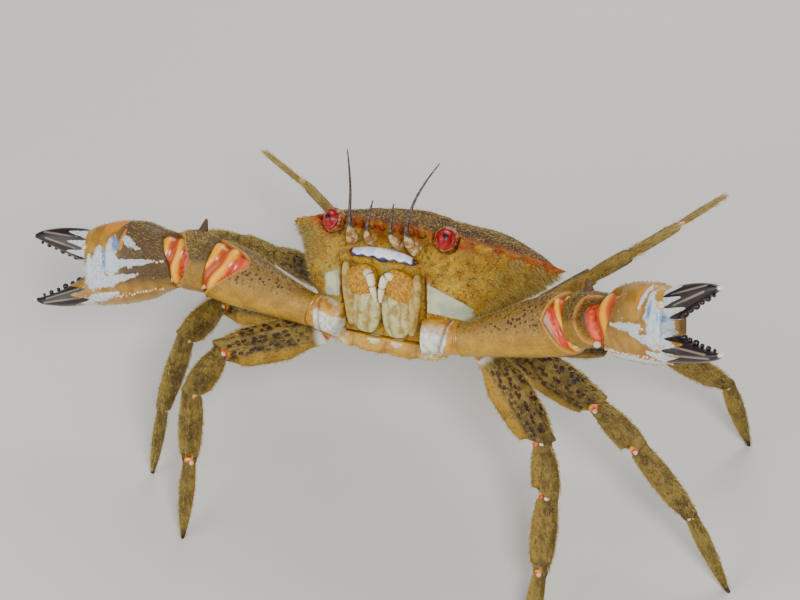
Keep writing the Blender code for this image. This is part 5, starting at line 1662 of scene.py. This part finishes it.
# %% [markdown]
# Each whip starts from a stout base of two joints and thins out to a hair. The same tube serves both
# pairs, with other points and radii.
# %% Feelers: both pairs
for side, name in SIDES:
    path = [body(side * x, y, z) for x, y, z in LONG_FEELER]
    bm = tube(path, LONG_RADII, 20, 200, waists=(0.19, 0.33))
    mm = to_body(points_of(bm))
    finish(bm, "feeler_long_" + name, FEELER, ("antenna_" + name,),
        {"mm": mm, "pale": smooth((-1.8 - mm[:, 2]) / 0.8)})
    path = [body(side * x, y, z) for x, y, z in SHORT_FEELER]
    bm = tube(path, SHORT_RADII, 18, 110, waists=(0.28, 0.5))
    mm = to_body(points_of(bm))
    finish(bm, "feeler_short_" + name, FEELER, ("antennule_" + name,),
        {"mm": mm, "pale": smooth((-2.0 - mm[:, 2]) / 0.8)})
print("pieces", len(PIECES))

# %% [markdown]
# Between the eyes the front margin carries a row of eight small orange teeth, the outer ones the
# stoutest.
# %% Teeth of the front margin
FRONT_TEETH = ((1.3, 1.7, 0.9), (3.9, 1.7, 0.95), (6.5, 1.9, 1.0), (9.3, 2.1, 1.2))  # place, length, width
FRONT_EDGE = RIM_LINE[:120]
bm = empty()
for side in (1, -1):
    for x, long, wide in FRONT_TEETH:
        edge = float(np.interp(x, FRONT_EDGE[:, 0], FRONT_EDGE[:, 1]))
        cone(bm, body(side * x, edge + 1.2, -0.4), body(side * (x + 0.3), edge - long, 1.1), wide, 14)
q = to_body(points_of(bm))
far = np.zeros(len(q))
finish(bm, "front_teeth", SHELL, (),
    {"mm": q, "dorsal": far, "patch": far, "warm": far + 1, "crease_shade": far})
print("pieces", len(PIECES))

# %% [markdown]
# A felt of short stiff hairs gives this crab its velvet. Lying flat it is relief in the shell's material;
# here are the hairs that break the form: short tufts over back and face, fringes along the margin, the
# limb edges and the paddles. Each tuft is a thin tapering blade, bent along the lie of the coat.
# %% Coat: one function that plants tufts
def values_of(mesh, name):
    layer = mesh.attributes[name]
    wide = layer.data_type == "FLOAT_VECTOR"
    out = np.zeros(len(mesh.vertices) * (3 if wide else 1), np.float32)
    layer.data.foreach_get("vector" if wide else "value", out)
    return out.reshape(-1, 3) if wide else out


def plant(host, count, weight, length, lie, unwrap, stand=0.55, thick=0.075, seed=1):
    """Blades on a skin, at vertices drawn by weight and area: points, triangles, UV places, tall and tone."""
    rng = np.random.default_rng(seed)
    mesh = PIECES[host].data
    n = len(mesh.vertices)
    co, no = np.zeros(n * 3, np.float32), np.zeros(n * 3, np.float32)
    mesh.vertices.foreach_get("co", co)
    mesh.vertex_normals.foreach_get("vector", no)
    co, no = co.reshape(-1, 3) / MM, no.reshape(-1, 3)
    area, sides = np.zeros(len(mesh.polygons), np.float32), np.zeros(len(mesh.polygons), np.int32)
    mesh.polygons.foreach_get("area", area)
    mesh.polygons.foreach_get("loop_total", sides)
    corner = np.zeros(len(mesh.loops), np.int32)
    mesh.loops.foreach_get("vertex_index", corner)
    chance = np.bincount(corner, np.repeat(area / sides, sides), n)
    mm = values_of(mesh, "mm")
    chance = chance * np.clip(weight(mm, no), 0, None)
    pick = rng.choice(n, count, p=chance / chance.sum())
    mm, normal = mm[pick], no[pick]
    root = co[pick] + rng.normal(0, 0.09, (count, 3))
    lean = lie(mm) if callable(lie) else np.tile(lie, (count, 1))
    tall = (length(mm) if callable(length) else length) * rng.uniform(0.6, 1.25, count)
    rise = normal * stand + lean * (1 - stand) + rng.normal(0, 0.2, (count, 3))
    rise /= np.linalg.norm(rise, axis=1)[:, None]
    side = np.cross(rise, rng.normal(0, 1, (count, 3)))
    side /= np.linalg.norm(side, axis=1)[:, None]
    other = np.cross(rise, side)
    points = np.zeros((count, 7, 3))
    for k, (low, wide) in enumerate(((-0.15, 1.0), (0.5, 0.7))):
        for i in range(3):
            a = 2 * math.pi * i / 3
            reach = side * math.cos(a) + other * math.sin(a)
            up = rise * (low * (tall[:, None] if k else 1.0))
            points[:, 3 * k + i] = root + up + reach * thick * wide + (lean * 0.1 * tall[:, None] if k else 0)
    points[:, 6] = root + rise * 0.95 * tall[:, None] + lean * 0.35 * tall[:, None]
    tris = np.array([(0, 2, 1)] + [t for i, j in ((0, 1), (1, 2), (2, 0))
        for t in ((i, j, 3 + j), (i, 3 + j, 3 + i), (3 + i, 3 + j, 6))])
    faces = (np.arange(count)[:, None, None] * 7 + tris).reshape(-1, 3)
    spread = np.array([(math.cos(k * 2.1), math.sin(k * 2.1)) for k in range(7)]) * 0.0015
    uv = np.clip(unwrap(mm)[:, None] + spread, 0, 1)
    height = np.tile([0, 0, 0, 0.55, 0.55, 0.55, 1.0], (count, 1))
    tone = np.repeat(rng.uniform(0, 1, count), 7)
    return points.reshape(-1, 3), faces, uv.reshape(-1, 2), height.ravel(), tone

print("a tuft has 10 triangles")

# %% [markdown]
# Tens of thousands of separate objects would stop Blender, so the blades of an area are joined to one
# mesh from arrays. Each blade lies on a spot of the coat map, by its place on the skin.
# %% Coat: join the tufts
def coat(name, groups):
    """Join groups of blades to one piece with its coat map; gives the number of faces."""
    starts = np.cumsum([0] + [len(g[0]) for g in groups])
    points = np.concatenate([g[0] for g in groups]) * MM
    points[:, 2] = np.maximum(points[:, 2], 0.0)
    faces = np.concatenate([g[1] + s for g, s in zip(groups, starts)])
    uv, height, tone = (np.concatenate([g[i] for g in groups]) for i in (2, 3, 4))
    mesh = bpy.data.meshes.new(name)
    mesh.from_pydata(points.tolist(), [], faces.tolist())
    layer = mesh.uv_layers.new(name="OFBake")
    layer.data.foreach_set("uv", uv[faces.ravel()].astype(np.float32).ravel())
    for key, values in (("tall", height), ("tone", tone)):
        mesh.attributes.new(key, "FLOAT", "POINT").data.foreach_set("value", values.astype(np.float32))
    register(mesh, name, HAIR)
    return len(faces)

print("coat helper ready")

# %% [markdown]
# The hairs are stiff horn, brown at the root and bleached straw yellow at the tip. A rough surface and a
# tone of its own for each tuft give the velvet. Single hairs are too fine to show, so each blade is about
# 0.12 mm thick and stands for a tuft.
# %% Material: stiff felt hair
HAIR, shader, add, tall, tone = begin("stiff_felt_hair", "tall", "tone")
base = add(MIX, tone, "#7A5E18", "#C09C3A")
base = add(MIX, add(TIMES, tall, add(STEP, tone, 0.3, 0.9, 0.2, 0.9)), base, "#DCD08C")
feed(shader, Base_Color=base, Roughness=0.55, IOR=1.45)
print("made", HAIR.name)

# %% [markdown]
# On the body the felt is shortest on the face, a little longer on the back, and stands out in a fringe on
# the side walls below the toothed margin. It leaves the pale patches and the plates of the mouth bare.
# %% Coat: body
def flat_map(x_low, x_high, y_low, y_high, i, j):
    def place(mm):
        return np.stack(((mm[:, i] - x_low) / (x_high - x_low), (mm[:, j] - y_low) / (y_high - y_low)), 1)
    return place


def face_weight(mm, no):
    x, y, z = np.abs(mm[:, 0]), mm[:, 1], mm[:, 2]
    bare = smooth((1.5 - np.hypot((x - 17.5) / 5.6, (z + 14.6) / 3.4)) / 0.3)
    front = smooth((-0.4 - z) / 1.0) * smooth((46 - y) / 4)
    return front * (1 - bare) * (x > 1) * (1 - (x < 12.4) * (z < -8.0)) * smooth((x - 8) / 4 + 0.4)


def fringe_weight(mm, no):
    x, y, z = np.abs(mm[:, 0]), mm[:, 1], mm[:, 2]
    return smooth((x - 19) / 12) * smooth((-0.8 - z) / 0.8) * smooth((z + 19) / 4) * smooth((34 - y) / 8)


OUT_LEFT = unit(LEFT * 0.8 - BACK * 0.3 - DORSAL * 0.3)
OUT_RIGHT = unit(-LEFT * 0.8 - BACK * 0.3 - DORSAL * 0.3)


def outward(mm):
    return np.where(mm[:, :1] > 0, OUT_LEFT, OUT_RIGHT)

print("hair leans out to", OUT_LEFT.round(2))

# %% [markdown]
# Face, fringe, back, tail and lobe get their own number, length and lie of tufts, each from its own seed,
# so the coat grows the same at every run.
# %% Coat: plant the body
front_map, back_map = flat_map(-45, 45, -28, 6, 0, 2), flat_map(-45, 45, -4, 60, 0, 1)
def back_weight(mm, no):
    return smooth((mm[:, 2] - 0.4) / 1.0)


def fringe_length(mm):
    return 0.6 + 1.0 * smooth((np.abs(mm[:, 0]) - 24) / 8)


count = coat("coat_face", [
    plant("carapace_shell", 12000, face_weight, 0.42, outward, front_map, 0.4, 0.06, 3),
    plant("carapace_shell", 3600, fringe_weight, fringe_length, outward, front_map, 0.75, 0.075, 4)])
count += coat("coat_back", [
    plant("carapace_shell", 9000, back_weight, 0.5, BACK, back_map, 0.45, 0.06, 5)])
count += coat("coat_tail", [
    plant("tail_flap", 420, lambda mm, no: smooth((22.5 - mm[:, 1]) / 2), 1.8,
          unit(UNDER - BACK * 0.6), flat_map(-12, 12, 10, 52, 0, 1), 0.6, 0.08, 6),
    plant("breast_lobe", 500, lambda mm, no: np.ones(len(mm)), 0.6,
          unit(UNDER - BACK * 0.4), flat_map(-24, 24, 0, 52, 0, 1), 0.6, 0.06, 7)])
print("body coat triangles", count)

# %% [markdown]
# On the limbs hair stands in a fringe along the upper edge, is short and scattered on the broad faces,
# and makes the swimming fringes on both edges of the hind paddles.
# %% Coat: limbs
def limb_map(length, tile):
    """Unroll a limb into a strip of its own: along it one way, round it the other."""
    def place(mm):
        around = np.arctan2(mm[:, 2], mm[:, 1]) / (2 * np.pi) + 0.5
        return np.stack((tile + 0.005 + 0.185 * np.clip(mm[:, 0] / length, 0, 1), 0.01 + 0.98 * around), 1)
    return place

print("limb map ready")

# %% [markdown]
# On the upper edge of each leg the hair makes a fringe, on the paddles a long one on both edges, and on
# the broad faces it is short. The weights read how far a point's normal turns to that edge.
# %% Coat: plant the legs
total = 0
for (number, side), leg in LEGS.items():
    groups = []
    for k, seg in enumerate(leg["segs"]):
        high = LEG_HALF_HEIGHT[number][k + 1]
        paddle = number == 5 and k >= 2
        fringe = (700, 420, 520, 420)[k] * (2 if paddle else 1)
        long = (0.9, 0.75, 0.75, 0.6)[k] + (1.2 if paddle else 0)
        both = 0.35 if k == 0 else 1.0
        host, along = leg["tag"] + LEG_NAMES[k] + "_shell", seg["along"]

        def edges(mm, no, high=high, both=both, length=seg["length"], up=seg["up"]):
            rise = no @ up
            inside = smooth(mm[:, 0] / 2) * smooth((length - 0.6 - mm[:, 0]) / 1.5)
            return inside * (smooth((rise - 0.55) / 0.3) + both * smooth((-rise - 0.6) / 0.3))

        def faces(mm, no, length=seg["length"]):
            return smooth(mm[:, 0] / 2) * smooth((length - 0.6 - mm[:, 0]) / 1.5)

        unroll = limb_map(seg["length"], 0.2 * k)
        groups.append(plant(host, fringe, edges, long, along, unroll, 0.6, 0.06, 10 + k))
        if not paddle:
            groups.append(plant(host, 420, faces, 0.35, along, unroll, 0.35, 0.05, 20 + k))
    total += coat(leg["tag"] + "coat", groups)
print("leg coat triangles", total)

# %% [markdown]
# On the claws the felt covers the upper side of the arm, most of the wrist, and the back of the hand, and
# leaves the golden faces bare.
# %% Coat: claws
for side in (1, -1):
    claw = CLAWS[side]
    groups = []
    for k, part, count, long in ((1, "merus", 1500, 0.45), (2, "carpus", 1900, 0.6), (3, "palm", 2600, 0.5)):
        seg = claw["segs"][k]
        inner = camera_side(seg)

        def felt(mm, no, seg=seg, part=part, inner=inner):
            rise, shown = no @ seg["up"], no @ inner
            ends = smooth(mm[:, 0] / 2) * smooth((seg["length"] - 1.0 - mm[:, 0]) / 1.5)
            high = smooth((mm[:, 1] / claw["big"] + 0.2) / 0.5)
            if part == "palm":
                return ends * (smooth((-shown + 0.3) / 0.4)
                    + (0.9 if side < 0 else 0.25) * high * smooth((13 - mm[:, 0]) / 4))
            if part == "merus":
                return ends * (smooth((rise - 0.1) / 0.5) + 0.1)
            return ends * (0.35 + smooth((rise + 0.1) / 0.5)) * (mm[:, 1] < claw["big"] * 0.76)

        groups.append(plant("claw_%s_%s_shell" % (claw["name"], part), count, felt, long, seg["along"],
                            limb_map(seg["length"], 0.2 * k), 0.5, 0.055, 30 + k))
    total += coat("claw_%s_coat" % claw["name"], groups)
print("limb coat triangles", total)

# %% [markdown]
# The camera looks from the photograph's side and height: the crab faces it, and it looks down steeply
# enough to see the tops of the far legs. The floor is plain and pale and the light is soft.
# %% Camera, floor and lights
AZIMUTH, ELEVATION = math.radians(37.6), math.radians(41.0)
TARGET = Vector((0.00667, -0.02117, 0.05987))
DISTANCE, LENS = 0.55, 105.2
to_camera = Vector((math.sin(AZIMUTH) * math.cos(ELEVATION), -math.cos(AZIMUTH) * math.cos(ELEVATION),
    math.sin(ELEVATION)))
lens = bpy.data.cameras.new("camera")
lens.lens, lens.sensor_width, lens.clip_start = LENS, 36.0, 0.01
camera = show("camera", lens)
camera.location = TARGET + to_camera * DISTANCE
camera.rotation_euler = (-to_camera).to_track_quat("-Z", "Y").to_euler()
bpy.context.scene.camera = camera

print("camera at", [round(c, 3) for c in camera.location])

# %% [markdown]
# The floor is a sheet of plain pale paper, dull, so that it shows the shadows and no reflections.
# %% Floor
paper, shader, add = begin("plain_pale_paper")
feed(shader, Base_Color="#D9D7D2", Roughness=0.9)
bm = empty()
bmesh.ops.create_grid(bm, x_segments=2, y_segments=2, size=3.0)
mesh = bpy.data.meshes.new("floor")
bm.to_mesh(mesh)
bm.free()
floor = show("floor", mesh)
mesh.materials.append(paper)
floor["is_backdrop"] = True

print("floor made")

# %% [markdown]
# One large lamp on the camera's side models the form, a weaker one opens the shadows, and one behind
# draws the outline. Large lamps give the soft edges of a studio.
# %% Light
world = bpy.data.worlds.new("soft_room")
world.use_nodes = True
world.node_tree.nodes["Background"].inputs["Color"].default_value = (1.0, 0.98, 0.95, 1)
world.node_tree.nodes["Background"].inputs["Strength"].default_value = 0.35
bpy.context.scene.world = world


def lamp(name, place, power, size, tint=(1, 1, 1)):
    light = bpy.data.lights.new(name, "AREA")
    light.energy, light.size, light.color = power, size, tint
    lit = show(name, light)
    lit.location = place
    lit.rotation_euler = (TARGET - Vector(place)).to_track_quat("-Z", "Y").to_euler()


lamp("key", TARGET + to_camera * 0.5 + Vector((0.25, -0.1, 0.25)), 5.0, 0.25)
lamp("fill", TARGET + to_camera * 0.5 + Vector((-0.45, -0.2, -0.1)), 2.2, 0.5)
lamp("back", (-0.2, 0.5, 0.5), 3.0, 0.5)
print("lamps", len(bpy.data.lights))

low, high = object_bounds()
print("visual box", [round(v, 4) for v in (*low, *high)])
